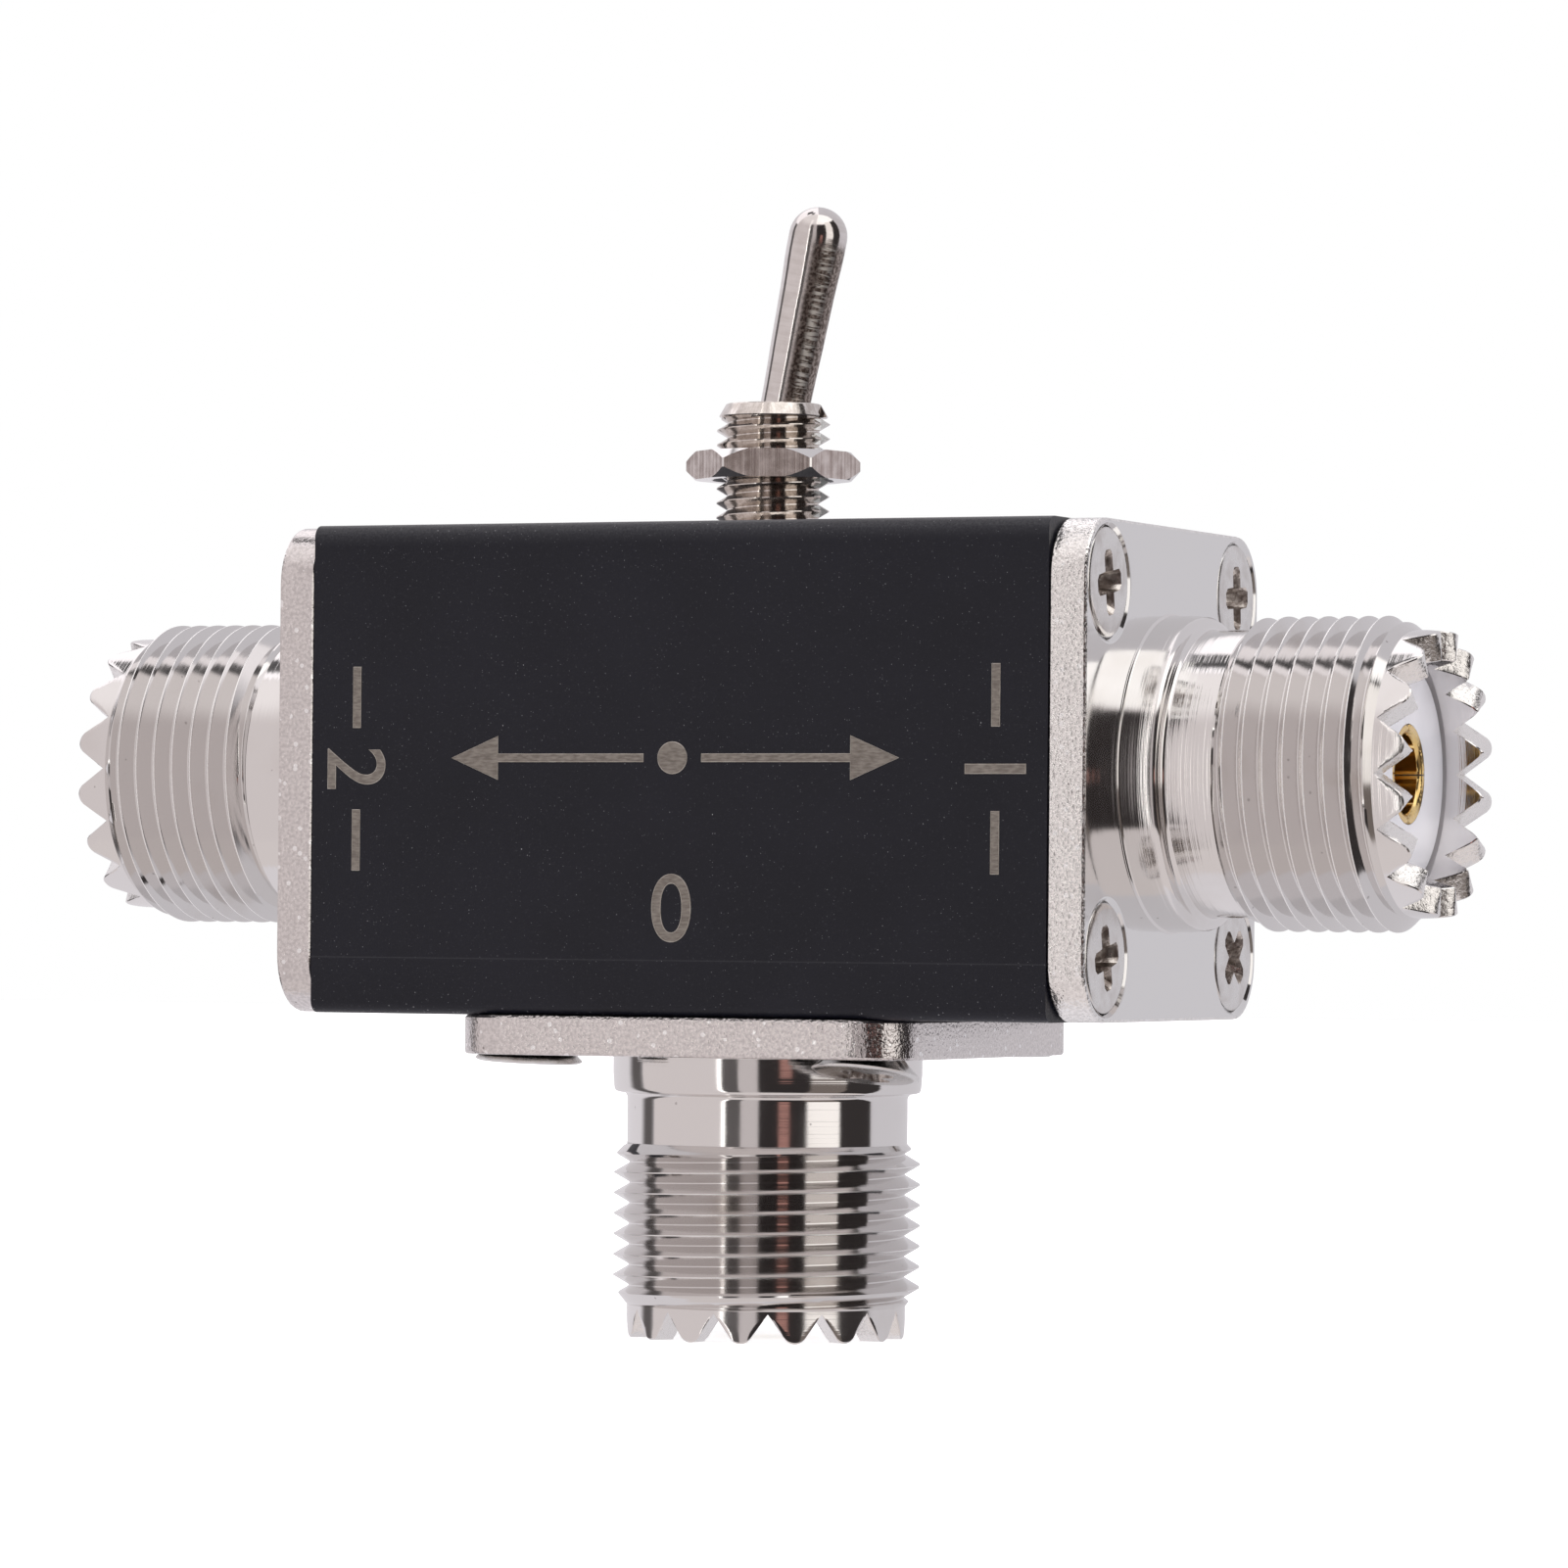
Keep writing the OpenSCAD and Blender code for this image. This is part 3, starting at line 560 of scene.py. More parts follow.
# The first row and the last two rows make the inner wall, which closes the sleeve
last_row = row_count - 1.0
is_first = row.do("LESS_THAN", 0.5)
is_last = row.do("GREATER_THAN", last_row - 0.5)
is_top_inner = row.do("COMPARE", last_row - 1.0, 0.4)
radius = pick((is_first + is_last + is_top_inner).do("MINIMUM", 1.0), radius, sizes["Inner Radius"])
height = pick(is_first.do("MAXIMUM", is_last), height, start)
height = pick(is_top_inner, height, end)
angle = round_share * (2 * math.pi)
wrapped = add_node(thread_tree, "ShaderNodeCombineXYZ", {
    0: radius * angle.do("COSINE"), 1: radius * angle.do("SINE"), 2: height})
bend = add_node(thread_tree, "GeometryNodeSetPosition", {
    "Geometry": sheet.outputs["Mesh"], "Position": wrapped.outputs[0]})
weld = add_node(thread_tree, "GeometryNodeMergeByDistance", {
    "Geometry": bend.outputs[0], "Distance": WELD_DISTANCE})
coated = coat(weld.outputs[0], sizes["Material"])
# The narrow flats of the crest get a brighter nickel: a painted highlight
spot_x, spot_y, _ = axes(thread_tree.nodes.new("GeometryNodeInputPosition").outputs[0])
spot_r = (spot_x.do("POWER", 2.0) + spot_y.do("POWER", 2.0)).do("SQRT")
crests = add_node(thread_tree, "GeometryNodeSetMaterial", {
    "Geometry": coated, "Selection": spot_r.do("GREATER_THAN", crest - CREST_DEPTH),
    "Material": sizes["Crest Material"]})
feed(result, crests.outputs[0])


def nickel_plate(name, axis, tone=1.0, stain=0.3, relief=0.3):
    """Bright nickel on turned metal; the turning marks run round the given axis."""
    material, shader = new_material(name, 1.0, 0.1)
    marks = texture(shader, grain, Scale=1.0, Detail=4.0, Stretch=tuple(5200.0 * a for a in axis))
    stains = texture(shader, grain, Scale=220.0, Detail=5.0)
    pits = texture(shader, specks, Scale=1900.0, Size=0.12, Share=0.06)
    clean = blend_colour(smooth_step(stains, 0.1, 0.7, 0.0, stain),
                         tuple(tone * c for c in (0.81, 0.79, 0.78)), (0.60, 0.545, 0.50))
    look(shader, blend_colour(pits * 0.4, clean, (0.2, 0.18, 0.17)),
         smooth_step(stains, -0.6, 0.8, 0.05, 0.16), (marks, relief, 0.008))
    return material


turned_along_x = nickel_plate("nickel_turned_x", (1, 0, 0), relief=0.85)
turned_along_z = nickel_plate("nickel_turned_z", (0, 0, 1), relief=0.6)
thread_along_x = nickel_plate("nickel_thread_x", (1, 0, 0), 0.93, 0.45)
thread_along_z = nickel_plate("nickel_thread_z", (0, 0, 1), 0.93, 0.6)
# Painted highlight for the thread crests: a brighter, rougher nickel
crest_highlight, _ = new_material("nickel_crest_highlight", 1.0, 0.35, Base_Color=(0.97, 0.96, 0.95))


def cast_plate(name, tone, relief):
    """Sandy cast surface of the flanges' edges, with pits and sparkling grains."""
    material, shader = new_material(name, 1.0, 0.2)
    sand = texture(shader, grain, Scale=5600.0, Detail=2.0)
    waves = texture(shader, grain, Scale=700.0, Detail=2.0)
    pits = texture(shader, specks, Scale=2300.0, Size=0.16, Share=0.05)
    grains = texture(shader, specks, Scale=3300.0, Size=0.34, Share=0.14)
    colour = blend_colour(smooth_step(sand, -0.35, 0.3), tuple(0.80 * c for c in tone), tone)
    colour = blend_colour(grains * 0.8, colour, (1.0, 1.0, 1.0))
    look(shader, blend_colour(pits * 0.7, colour, (0.2, 0.17, 0.16)),
         smooth_step(sand, -0.5, 0.5, 0.1, 0.24), (sand + waves, relief, 0.035))
    return material


# Lit and shaded copies of one cast finish: painted light on port 1's edges, a little painted shade on port 2's
cast_lit_and_shaded = {
    "port_1": cast_plate("nickel_cast_lit", (1.0, 0.98, 0.96), 0.8),
    "port_2": cast_plate("nickel_cast_shaded", (0.79, 0.75, 0.74), 0.3),
    "common": cast_plate("nickel_cast", (0.81, 0.77, 0.76), 0.5),
}

# Bright flange face: plated over a smooth casting, with faint waves and pinholes
flat_nickel, shader = new_material("nickel_face", 1.0, 0.14)
waves = texture(shader, grain, Scale=420.0, Detail=4.0)
pits = texture(shader, specks, Scale=2100.0, Size=0.12, Share=0.06)
look(shader, blend_colour(pits * 0.6, (0.82, 0.815, 0.81), (0.3, 0.28, 0.27)),
     smooth_step(waves, -0.6, 0.6, 0.05, 0.13), (waves, 0.05, 0.05))

# Milled notches, left rougher than the turned surfaces
cut_nickel, shader = new_material("nickel_milled", 1.0, 0.32, Base_Color=(0.92, 0.9, 0.88))
milled = texture(shader, grain, Scale=5200.0)
look(shader, None, smooth_step(milled, -0.5, 0.5, 0.14, 0.34), (milled, 0.5, 0.03))


def circle(r, count, x=0.0, y=0.0):
    """Points (x, y) round a circle."""
    angles = [2 * math.pi * k / count for k in range(count)]
    return [(x + r * math.cos(a), y + r * math.sin(a)) for a in angles]


def wrapped_faces(rows, columns):
    """Quads of a grid that closes on itself both ways."""
    return [(i * columns + j, i * columns + (j + 1) % columns,
             (i + 1) % rows * columns + (j + 1) % columns, (i + 1) % rows * columns + j)
            for i in range(rows) for j in range(columns)]


def flange_plate(mouth_r, cast_finish):
    """Flange with broken edges, four countersunk holes and the seat of its barrel."""
    points, faces = [], []

    def loop(ring):
        first = len(points)
        points.extend(ring)
        return list(range(first, first + len(ring)))

    def bridge(*loops):
        for a, b in zip(loops, loops[1:]):
            for i in range(len(a)):
                j = (i + 1) % len(a)
                faces.append((a[i], a[j], b[j], b[i]))

    def outline(inset, z):
        ring, r, arc_steps = [], flange_corner_r - inset, 10
        reach = housing_w / 2 - flange_corner_r
        for quarter, (cx, cy) in enumerate(QUARTERS):
            for k in range(arc_steps + 1):
                a = math.radians(90 * quarter + 90 * k / arc_steps)
                ring.append(Vector((cx * reach + r * math.cos(a), cy * reach + r * math.sin(a), z)))
        filled = []
        for i, p in enumerate(ring):
            q = ring[(i + 1) % len(ring)]
            count = max(1, round((q - p).length / 0.9))
            filled += [p.lerp(q, s / count) for s in range(count)]
        return filled

    sides = [loop(outline(inset, z)) for inset, z in (
        (flange_break, 0), (0, flange_break), (0, flange_t / 2), (0, flange_t - flange_break),
        (0.3 * flange_break, flange_t - 0.3 * flange_break), (flange_break, flange_t))]
    bridge(*sides)
    side_faces = len(faces)
    top_loops, bottom_loops = [sides[-1]], [sides[0]]
    shank = screw_r + 0.15
    countersink = ((mouth_r + 0.06, flange_t), (mouth_r - 0.02, flange_t - 0.03),
                   (shank, flange_t - (mouth_r - shank)), (shank, 0))
    barrel_seat = ((neck_r, flange_t), (neck_r, 0))
    openings = [(x * hole_pitch / 2, y * hole_pitch / 2, 40, countersink) for x in (-1, 1) for y in (-1, 1)]
    for cx, cy, count, levels in openings + [(0, 0, 64, barrel_seat)]:
        rings = [loop([(x, y, z) for x, y in circle(r, count, cx, cy)]) for r, z in levels]
        bridge(*rings)
        top_loops.append(rings[0])
        bottom_loops.append(rings[-1])
    mesh = mesh_of("plate", points, faces, (flat_nickel, cast_finish),
                   lambda p: 1 if p.index < side_faces else 0)
    bm = bmesh.new()
    bm.from_mesh(mesh)
    bm.verts.ensure_lookup_table()
    for loops in (top_loops, bottom_loops):
        edges = []
        for ids in loops:
            for i in range(len(ids)):
                pair = (bm.verts[ids[i]], bm.verts[ids[(i + 1) % len(ids)]])
                edges.append(bm.edges.get(pair) or bm.edges.new(pair))
        bmesh.ops.triangle_fill(bm, use_beauty=True, edges=edges)
    bm.to_mesh(mesh)
    bm.free()
    return tidy_mesh(mesh, 15.0)


def barrel_core(crown_turn, plate_finish):
    """Closed turned body: foot, ring, neck, core of the thread, crown and stepped bore."""
    flank_steps, tip_steps = 7, 4
    inner_mid = bore_r * math.sin(math.pi / tooth_count)
    outer_mid = crown_r * math.sin(math.pi / tooth_count)
    half = [(notch_half * k / flank_steps, notch_half * k / flank_steps, k / flank_steps)
            for k in range(flank_steps)]
    for k in range(tip_steps + 1):
        share = k / tip_steps
        s_in = notch_half + share * (inner_mid - notch_half)
        s_out = notch_half + share * (outer_mid - notch_half)
        half.append((s_in, s_out, 1.0 - 0.06 * (1 - share) ** 2))
    cycle = [(-a, -b, c) for a, b, c in reversed(half[1:-1])]
    columns = []
    for i in range(tooth_count):
        middle = math.radians(crown_turn) + (i + 0.5) * 2 * math.pi / tooth_count
        for s_in, s_out, share in cycle + half:
            columns.append((middle, s_in, s_out, share))

    def angle_at(column, r):
        middle, s_in, s_out, _ = column
        share = min(max((r - bore_r) / (crown_r - bore_r), 0), 1)
        reach = min(max(r, bore_r), crown_r)
        return middle + math.asin((s_in + share * (s_out - s_in)) / reach)

    valley = mouth_z - tooth_h
    rows = [(spigot_r, 0.0), (neck_r - 0.05, 0.0), (neck_r - 0.05, 1.0), (ring_r, 1.6)]
    rows += [(ring_r + dr, z) for dr, z in (
        (0.12, 1.95), (0.12, 2.02), (0.04, 2.06), (0, 2.12), (0, 2.15), (0, 3.0), (-0.045, 3.62),
        (-0.05, 3.66), (-0.07, 3.82), (-0.14, 3.93), (-0.28, 3.98), (-0.42, 4.0))]
    rows += [(neck_r + dr, z) for dr, z in (
        (0.22, 4.0), (0.14, 4.03), (0.05, 4.12), (0, 4.26), (0, 4.3), (0, thread_from),
        (0, thread_from + 0.05), (-0.3, thread_from + 0.3), (-0.3, crown_foot - 0.3))]
    rows.append((crown_r, crown_foot - 0.02))
    rows = [(r, z, None) for r, z in rows]
    rows += [(crown_r, None, f) for f in (0.0, 0.3, 0.6, 0.85)]
    rows += [(crown_r - 0.02, None, 0.95), (crown_r - 0.08, None, 1.0), (crown_r - 0.5, None, 1.0),
             ((crown_r + bore_r) / 2, None, 1.0), (bore_r + 0.3, None, 1.0), (bore_r + 0.05, None, 1.0)]
    lip_from, lip_to = len(rows) - 5, len(rows) - 1
    rows += [(bore_r, None, f) for f in (0.95, 0.6, 0.3, 0.0)]
    rows += [(bore_r, z, None) for z in (crown_foot - 0.4, 8.0, 1.0)]
    rows.append((spigot_r, 1.0, None))
    points, count = [], len(columns)
    for r, z, f in rows:
        for column in columns:
            a = angle_at(column, r)
            top = valley + column[3] * tooth_h
            height = z if z is not None else crown_foot + f * (top - crown_foot)
            points.append((r * math.cos(a), r * math.sin(a), height))
    mesh = mesh_of("core", points, wrapped_faces(len(rows), count), (plate_finish, cut_nickel),
                   lambda p: 1 if lip_from <= p.index // count < lip_to else 0)
    return tidy_mesh(mesh, 28.0)


for port, place in socket_places.items():
    upright = port == "common"
    thread = grow(thread_tree, {
        "Crest Radius": crest_r, "Root Radius": 7.13, "Inner Radius": 6.6, "Pitch": 25.4 / 24,
        "Start": thread_from, "End": crown_foot, "Start Radius": neck_r + 0.02,
        "End Radius": crown_r, "End Slope": 0.8, "Flat Share": 0.055, "Columns": 240,
        "Material": thread_along_z if upright else thread_along_x, "Crest Material": crest_highlight})
    core = barrel_core(crown_turns[port], turned_along_z if upright else turned_along_x)
    mouth_r = head_r + 0.25 - (0.35 if upright else 0.0)
    add_piece(port + "_plated_socket", [flange_plate(mouth_r, cast_lit_and_shaded[port]), core, tidy_mesh(thread, 30.0)],
              place, "root", [port + "_socket"])

# ---- Insulators and contacts --------------------------------------------------
# White turned plastic with a faint bluish cast, and gold-plated split sleeves. They keep
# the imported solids' shapes.


def two_tone(name, metallic, roughness, dark, light, spread=(-0.5, 0.5), **values):
    """Material whose colour follows one grain; returns it, its shader and the grain."""
    material, shader = new_material(name, metallic, roughness)
    value = texture(shader, grain, **values)
    look(shader, blend_colour(smooth_step(value, *spread), dark, light))
    return material, shader, value


plastic, shader, _ = two_tone(
    "white_plastic", 0.0, 0.3, (0.525, 0.52, 0.56), (0.585, 0.575, 0.615), Scale=300.0)
feed(shader.inputs["Subsurface Weight"], 0.15)
feed(shader.inputs["Subsurface Radius"], (0.002, 0.002, 0.002))
look(shader, bump=(texture(shader, grain, Scale=2600.0, Detail=2.0), 0.06, 0.02))

gold, shader, tint = two_tone(
    "gold_plate", 1.0, 0.16, (0.86, 0.58, 0.20), (0.93, 0.70, 0.33), Scale=700.0)
look(shader, None, smooth_step(tint, -0.6, 0.6, 0.12, 0.24), (tint, 0.08, 0.02))


def revolved(name, profile, count, material, sharp_degrees=30.0):
    """Solid of revolution about Z; the profile is closed, or ends on the axis at both ends."""
    points, rings = [], []
    for r, z in profile:
        ring = circle(r, count) if r else [(0, 0)]
        rings.append([len(points) + k % len(ring) for k in range(count)])
        points += [(x, y, z) for x, y in ring]
    pairs = list(zip(rings, rings[1:]))
    if profile[0][0] and profile[-1][0]:
        pairs.append((rings[-1], rings[0]))
    # A point on the axis stands for its whole ring, so its quads shrink to triangles
    faces = [tuple(dict.fromkeys((a[k], a[(k + 1) % count], b[(k + 1) % count], b[k])))
             for a, b in pairs for k in range(count)]
    return tidy_mesh(mesh_of(name, points, faces, material), sharp_degrees)


def cut_box(mesh, low, high):
    """Takes a box out of a closed mesh."""
    outlines = [[(low[0], low[1], z), (high[0], low[1], z), (high[0], high[1], z), (low[0], high[1], z)]
                for z in (low[2], high[2])]
    return combine(mesh, loft("box", outlines, mesh.materials[0]), "DIFFERENCE", 30.0)


insulator_z, slot_l, slot_w = 14.5, 7.0, 0.08
sleeve_r, sleeve_bore = 2.5, 2.0
filler_foot = insulator_z - slot_l - 0.3
filler_profile = [
    (sleeve_bore, filler_foot), (sleeve_r, filler_foot), (sleeve_r, insulator_z - 0.1),
    (sleeve_r - 0.03, insulator_z - 0.03), (sleeve_r - 0.1, insulator_z), (sleeve_bore + 0.2, insulator_z),
    (sleeve_bore + 0.06, insulator_z - 0.08), (sleeve_bore, insulator_z - 0.25)]
for port, place in socket_places.items():
    dress(port + "_insulator", plastic)
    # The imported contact's wide cuts are filled, then sprung shut to fine slots
    filler = revolved("filler", filler_profile, 72, gold)
    contact = combine(packed_copy(port + "_contact", gold, place), filler, "UNION", 30.0)
    for half_x, half_y in ((3, slot_w / 2), (slot_w / 2, 3)):
        contact = cut_box(contact, (-half_x, -half_y, insulator_z - slot_l), (half_x, half_y, insulator_z + 1))
    add_piece(port + "_split_sleeve", [contact], place, "root", [port + "_contact"])

# ---- Flange screws ------------------------------------------------------------
# Nickel-plated countersunk machine screws with worn cross recesses, four to a flange.
# The common flange's screws stand a little proud, and the front right one leans too.
screw_l, head_rim, recess_half = 6.0, 0.15, 1.62


def screw_solid(plate, recess):
    """One screw, head up at z = 0, its recess cut by a tapered cross."""
    head = revolved("screw", [
        (0, -screw_l), (1.2, -screw_l), (screw_r, -screw_l + 0.3), (screw_r, -head_rim - head_r + screw_r),
        (head_r, -head_rim), (head_r - 0.03, -0.1), (head_r - 0.12, -0.045), (head_r - 0.26, -0.008),
        (head_r - 0.36, 0.0), (0, 0.0)], 48, plate)
    # The cross narrows to its floor, with rounded ends: depth, share of the reach, half width
    outlines = []
    for z, share, half in ((0.3, 1.05, 0.58), (-0.05, 1.0, 0.52), (-0.6, 0.74, 0.44), (-1.25, 0.42, 0.32)):
        reach = recess_half * share
        corner = half * 0.45
        arm = [(reach - corner, -half), (reach, -half + corner), (reach, half - corner),
               (reach - corner, half), (half + 0.05, half)]
        outlines.append([tuple(turn(90 * quarter, "Z") @ Vector((x, y, z)))
                         for quarter in range(4) for x, y in arm])
    return link_object("screw", combine(head, loft("cross", outlines, recess), "DIFFERENCE", 30.0))


screw_tree, sizes, result = geometry_tree("screw_set", {"Screw": "Object", "Material": "Material"})
lie = add_node(screw_tree, "GeometryNodeInputNamedAttribute", {"Name": "lie"}, data_type="FLOAT_VECTOR")
turned = add_node(screw_tree, "FunctionNodeEulerToRotation", {0: lie.outputs["Attribute"]})
source = add_node(screw_tree, "GeometryNodeObjectInfo", {"Object": sizes["Screw"]})
spread = add_node(screw_tree, "GeometryNodeInstanceOnPoints", {
    "Points": sizes["Geometry"], "Instance": source.outputs["Geometry"], "Rotation": turned.outputs[0]})
# The recess keeps its own darker finish: only the faces in the first slot are coated
slot_number = Term(screw_tree.nodes.new("GeometryNodeInputMaterialIndex").outputs[0])
feed(result, coat(spread.outputs[0], sizes["Material"], slot_number.do("LESS_THAN", 0.5)))

screw_plate, shader, rub = two_tone(
    "screw_plate", 1.0, 0.2, (0.64, 0.61, 0.59), (0.82, 0.81, 0.80), (-0.5, 0.3), Scale=900.0, Detail=5.0)
look(shader, None, smooth_step(rub, -0.6, 0.6, 0.12, 0.34), (rub, 0.2, 0.03))

# Recess: dark, gnawed metal with traces of plating
worn_recess, shader, gnawed = two_tone(
    "screw_recess", 1.0, 0.35, (0.24, 0.20, 0.18), (0.78, 0.73, 0.69), (-0.2, 0.25), Scale=1600.0, Detail=4.0)
look(shader, None, smooth_step(gnawed, -0.5, 0.5, 0.45, 0.22), (gnawed, 0.6, 0.08))

# Turn of each recess and lean of each screw, in degrees, for the holes in the order
# (-x, -y), (-x, +y), (+x, -y), (+x, +y) of the socket's own frame
screw_lies = {
    "port_1": ((0, 0, 9), (0, 0, 4), (0, 0, 12), (0, 0, 46)),
    "port_2": ((0, 0, 12), (0, 0, 37), (0, 0, 3), (0, 0, 61)),
    "common": ((0, 0, 20), (0, -2.5, 5), (0, 0, 52), (-11.3, 1.6, 15)),
}
# How far the common flange's screws stand out, in the same order
screw_prouds = (0.3, 0.42, 0.1, 0.85)
one_screw = screw_solid(screw_plate, worn_recess)
for port, place in socket_places.items():
    prouds = screw_prouds if port == "common" else (0, 0, 0, 0)
    holes = [(x * hole_pitch / 2, y * hole_pitch / 2) for x in (-1, 1) for y in (-1, 1)]
    spots = [((x, y, flange_t + proud), [math.radians(a) for a in lie])
             for (x, y), proud, lie in zip(holes, prouds, screw_lies[port])]
    mesh = grow(screw_tree, {"Screw": one_screw, "Material": screw_plate}, spots)
    add_piece(port + "_screw_set", [mesh], place, "root", [port + "_screws"])
bpy.data.objects.remove(one_screw)

# ---- Toggle bushing -----------------------------------------------------------
# Brass, turned and threaded M6, nickel plated and darker than the sockets. A plain collar
# tops the thread, and a keyway runs down its +X side.
bushing_foot, bushing_end, top_z, pivot_z = 38.75, 48.25, 41.6, 45.0


def worn_nickel(name, light, dark, streak, rough, lean=0.0, relief=0.18):
    """Darker nickel, with streaks along Z or a leaning axis, and small scratches."""
    material, shader = new_material(name, 1.0, rough)
    upright = add_node(shader.id_data, "ShaderNodeMapping", {
        "Rotation": (0, -lean, 0), "Vector": object_coords(shader)}).outputs[0]
    streaks = texture(shader, grain, upright, Scale=1.0, Stretch=streak)
    spots = texture(shader, grain, upright, Scale=1500.0, Detail=4.0)
    both = streaks * 0.6 + spots * 0.5
    look(shader, blend_colour(smooth_step(both, -0.35, 0.35), dark, light),
         smooth_step(both, -0.5, 0.5, rough * 1.4, rough * 0.7), (both, relief, 0.02))
    return material


toggle_nickel = worn_nickel(
    "toggle_nickel", (0.80, 0.755, 0.72), (0.58, 0.53, 0.49), (5000.0, 5000.0, 300.0), 0.1)
collar_z = bushing_end - 0.7
sleeve = grow(thread_tree, {
    "Crest Radius": 2.925, "Root Radius": 2.38, "Inner Radius": 2.2, "Pitch": 0.75,
    "Start": 40.4, "End": collar_z + 0.05, "Start Radius": 2.6, "End Radius": 2.6,
    "End Slope": 1.2, "Flat Share": 0.07, "Columns": 144, "Material": toggle_nickel,
    "Crest Material": toggle_nickel})
collar = revolved("collar", [
    (2.3, 43.4), (1.85, 43.4), (1.85, 45.9), (1.56, 45.98), (1.6, 46.2), (2.02, 48.15), (2.12, bushing_end),
    (2.42, bushing_end), (2.48, bushing_end - 0.04), (2.5, bushing_end - 0.08), (2.8, collar_z + 0.1),
    (2.82, collar_z + 0.06), (2.8, collar_z + 0.02), (2.6, collar_z), (2.3, collar_z)], 96, toggle_nickel)
root_ring = revolved(
    "root_ring", [(2.6, bushing_foot), (2.6, 40.6), (2.9, 40.6), (2.9, bushing_foot)], 96, toggle_nickel)
keyway = (2.475, -0.45, top_z), (3.5, 0.45, bushing_end + 1)
add_piece("threaded_bushing", [cut_box(tidy_mesh(sleeve, 30.0), *keyway), cut_box(collar, *keyway), root_ring],
          Matrix.Identity(4), "root", ["toggle_bushing"])

# ---- Hex nut ------------------------------------------------------------------
# Thin brass nut, nickel plated over brushed flats, chamfered on both faces so that each
# flat is an eight-sided window. It runs on the bushing's thread.
nut_nickel = worn_nickel("nut_nickel", (0.74, 0.665, 0.63), (0.46, 0.38, 0.35), (7000.0, 7000.0, 120.0), 0.24)
chamfer_nickel = nickel_plate("nickel_chamfer", (0, 0, 1))
nut_turn, nut_half, nut_low, nut_high = 18.5, 3.95, 44.3, 45.75
chamfer_r, chamfer_slope, nut_bore, bore_bevel = 4.06, 1.05, 2.98, 0.25
nut_angles = (-29.2, -26, -22, -18, -13.36, -7, 0, 7, 13.36, 18, 22, 26, 29.2)
points = []
for flat in range(6):
    for offset in nut_angles:
        a = math.radians(nut_turn + 30 + 60 * flat + offset)
        side_r = nut_half / math.cos(math.radians(offset))
        face_r = min(side_r, chamfer_r)
        drop = (side_r - face_r) * chamfer_slope
        for r, z in ((nut_bore, nut_low + bore_bevel), (nut_bore + bore_bevel, nut_low), (face_r, nut_low),
                     (side_r, nut_low + drop), (side_r, nut_high - drop), (face_r, nut_high),
                     (nut_bore + bore_bevel, nut_high), (nut_bore, nut_high - bore_bevel)):
            points.append((r * math.cos(a), r * math.sin(a), z))
ring_size, flat_columns = 8, len(nut_angles)
nut_mesh = mesh_of(
    "nut", points, wrapped_faces(len(points) // ring_size, ring_size), (nut_nickel, chamfer_nickel),
    lambda p: int(p.index % ring_size != 3 or p.index // ring_size % flat_columns == flat_columns - 1))
add_piece("chamfered_nut", [tidy_mesh(nut_mesh, 18.0)], Matrix.Identity(4), "nut", ["hex_nut"])

# ---- Lever --------------------------------------------------------------------
# Turned and polished steel lever, nickel plated: round end, slightly hollow taper, ball
# and hollow tail. The cross pin, spring and plunger ride in it.
lean = math.radians(11.5)
lever_nickel = worn_nickel(
    "lever_nickel", (0.80, 0.765, 0.75), (0.71, 0.67, 0.65), (260.0, 260.0, 3600.0), 0.1, lean, 0.3)
# Its right-hand side carries a painted reflection: a brown band with short bright cross streaks;
# the arcs count from the front, in degrees, with their edge softness
reflection_arc, streak_arc, reflection_end, reflection_fade = (17, 107, 9), (37, 65, 7), 11.4, 0.8
shader = lever_nickel.node_tree.nodes["Principled BSDF"]
upright = lever_nickel.node_tree.nodes["Mapping"].outputs[0]
lever_x, lever_y, lever_z = axes(upright)
side_angle = (lever_x + pivot_z * MM * math.sin(lean)).do("ARCTAN2", lever_y * -1.0)
fade_z = pivot_z * math.cos(lean) + reflection_end
below_tip = smooth_step(lever_z, fade_z * MM, (fade_z + reflection_fade) * MM, 1.0, 0.0)
gritty = texture(shader, grain, upright, Scale=6500.0)
streak_grain = texture(shader, grain, upright, Scale=1.0, Stretch=(700.0, 700.0, 9000.0))
# Painted reflection on the right-hand side, fading out below the tip
painted_reflection = arc_band(side_angle, *reflection_arc) * below_tip
bright_streaks = smooth_step(streak_grain, 0.02, 0.12) * arc_band(side_angle, *streak_arc)
reflection_colour = blend_colour(smooth_step(gritty, -0.25, 0.35), (0.13, 0.10, 0.085), (0.52, 0.45, 0.41))
reflection_colour = blend_colour(bright_streaks, reflection_colour, (0.95, 0.92, 0.88))
plated, polish = (shader.inputs[key].links[0].from_socket for key in ("Base Color", "Roughness"))
look(shader, blend_colour(painted_reflection, plated, reflection_colour), Term(polish) + painted_reflection * 0.28)

lever_place = Matrix.Translation((0, 0, pivot_z)) @ Matrix.Rotation(lean, 4, "Y")
ball_r, tail_r, tip_r, lever_l = 1.8, 1.1, 1.515, 12.15
tail_bore_r, tail_end, chamber_top = 0.75, -9.3, -4.0


def arc(r, z, *angles):
    """Points of a profile round the axis at height z, for a range of angles in degrees."""
    return [(r * math.cos(math.radians(a)), z + r * math.sin(math.radians(a))) for a in range(*angles)]


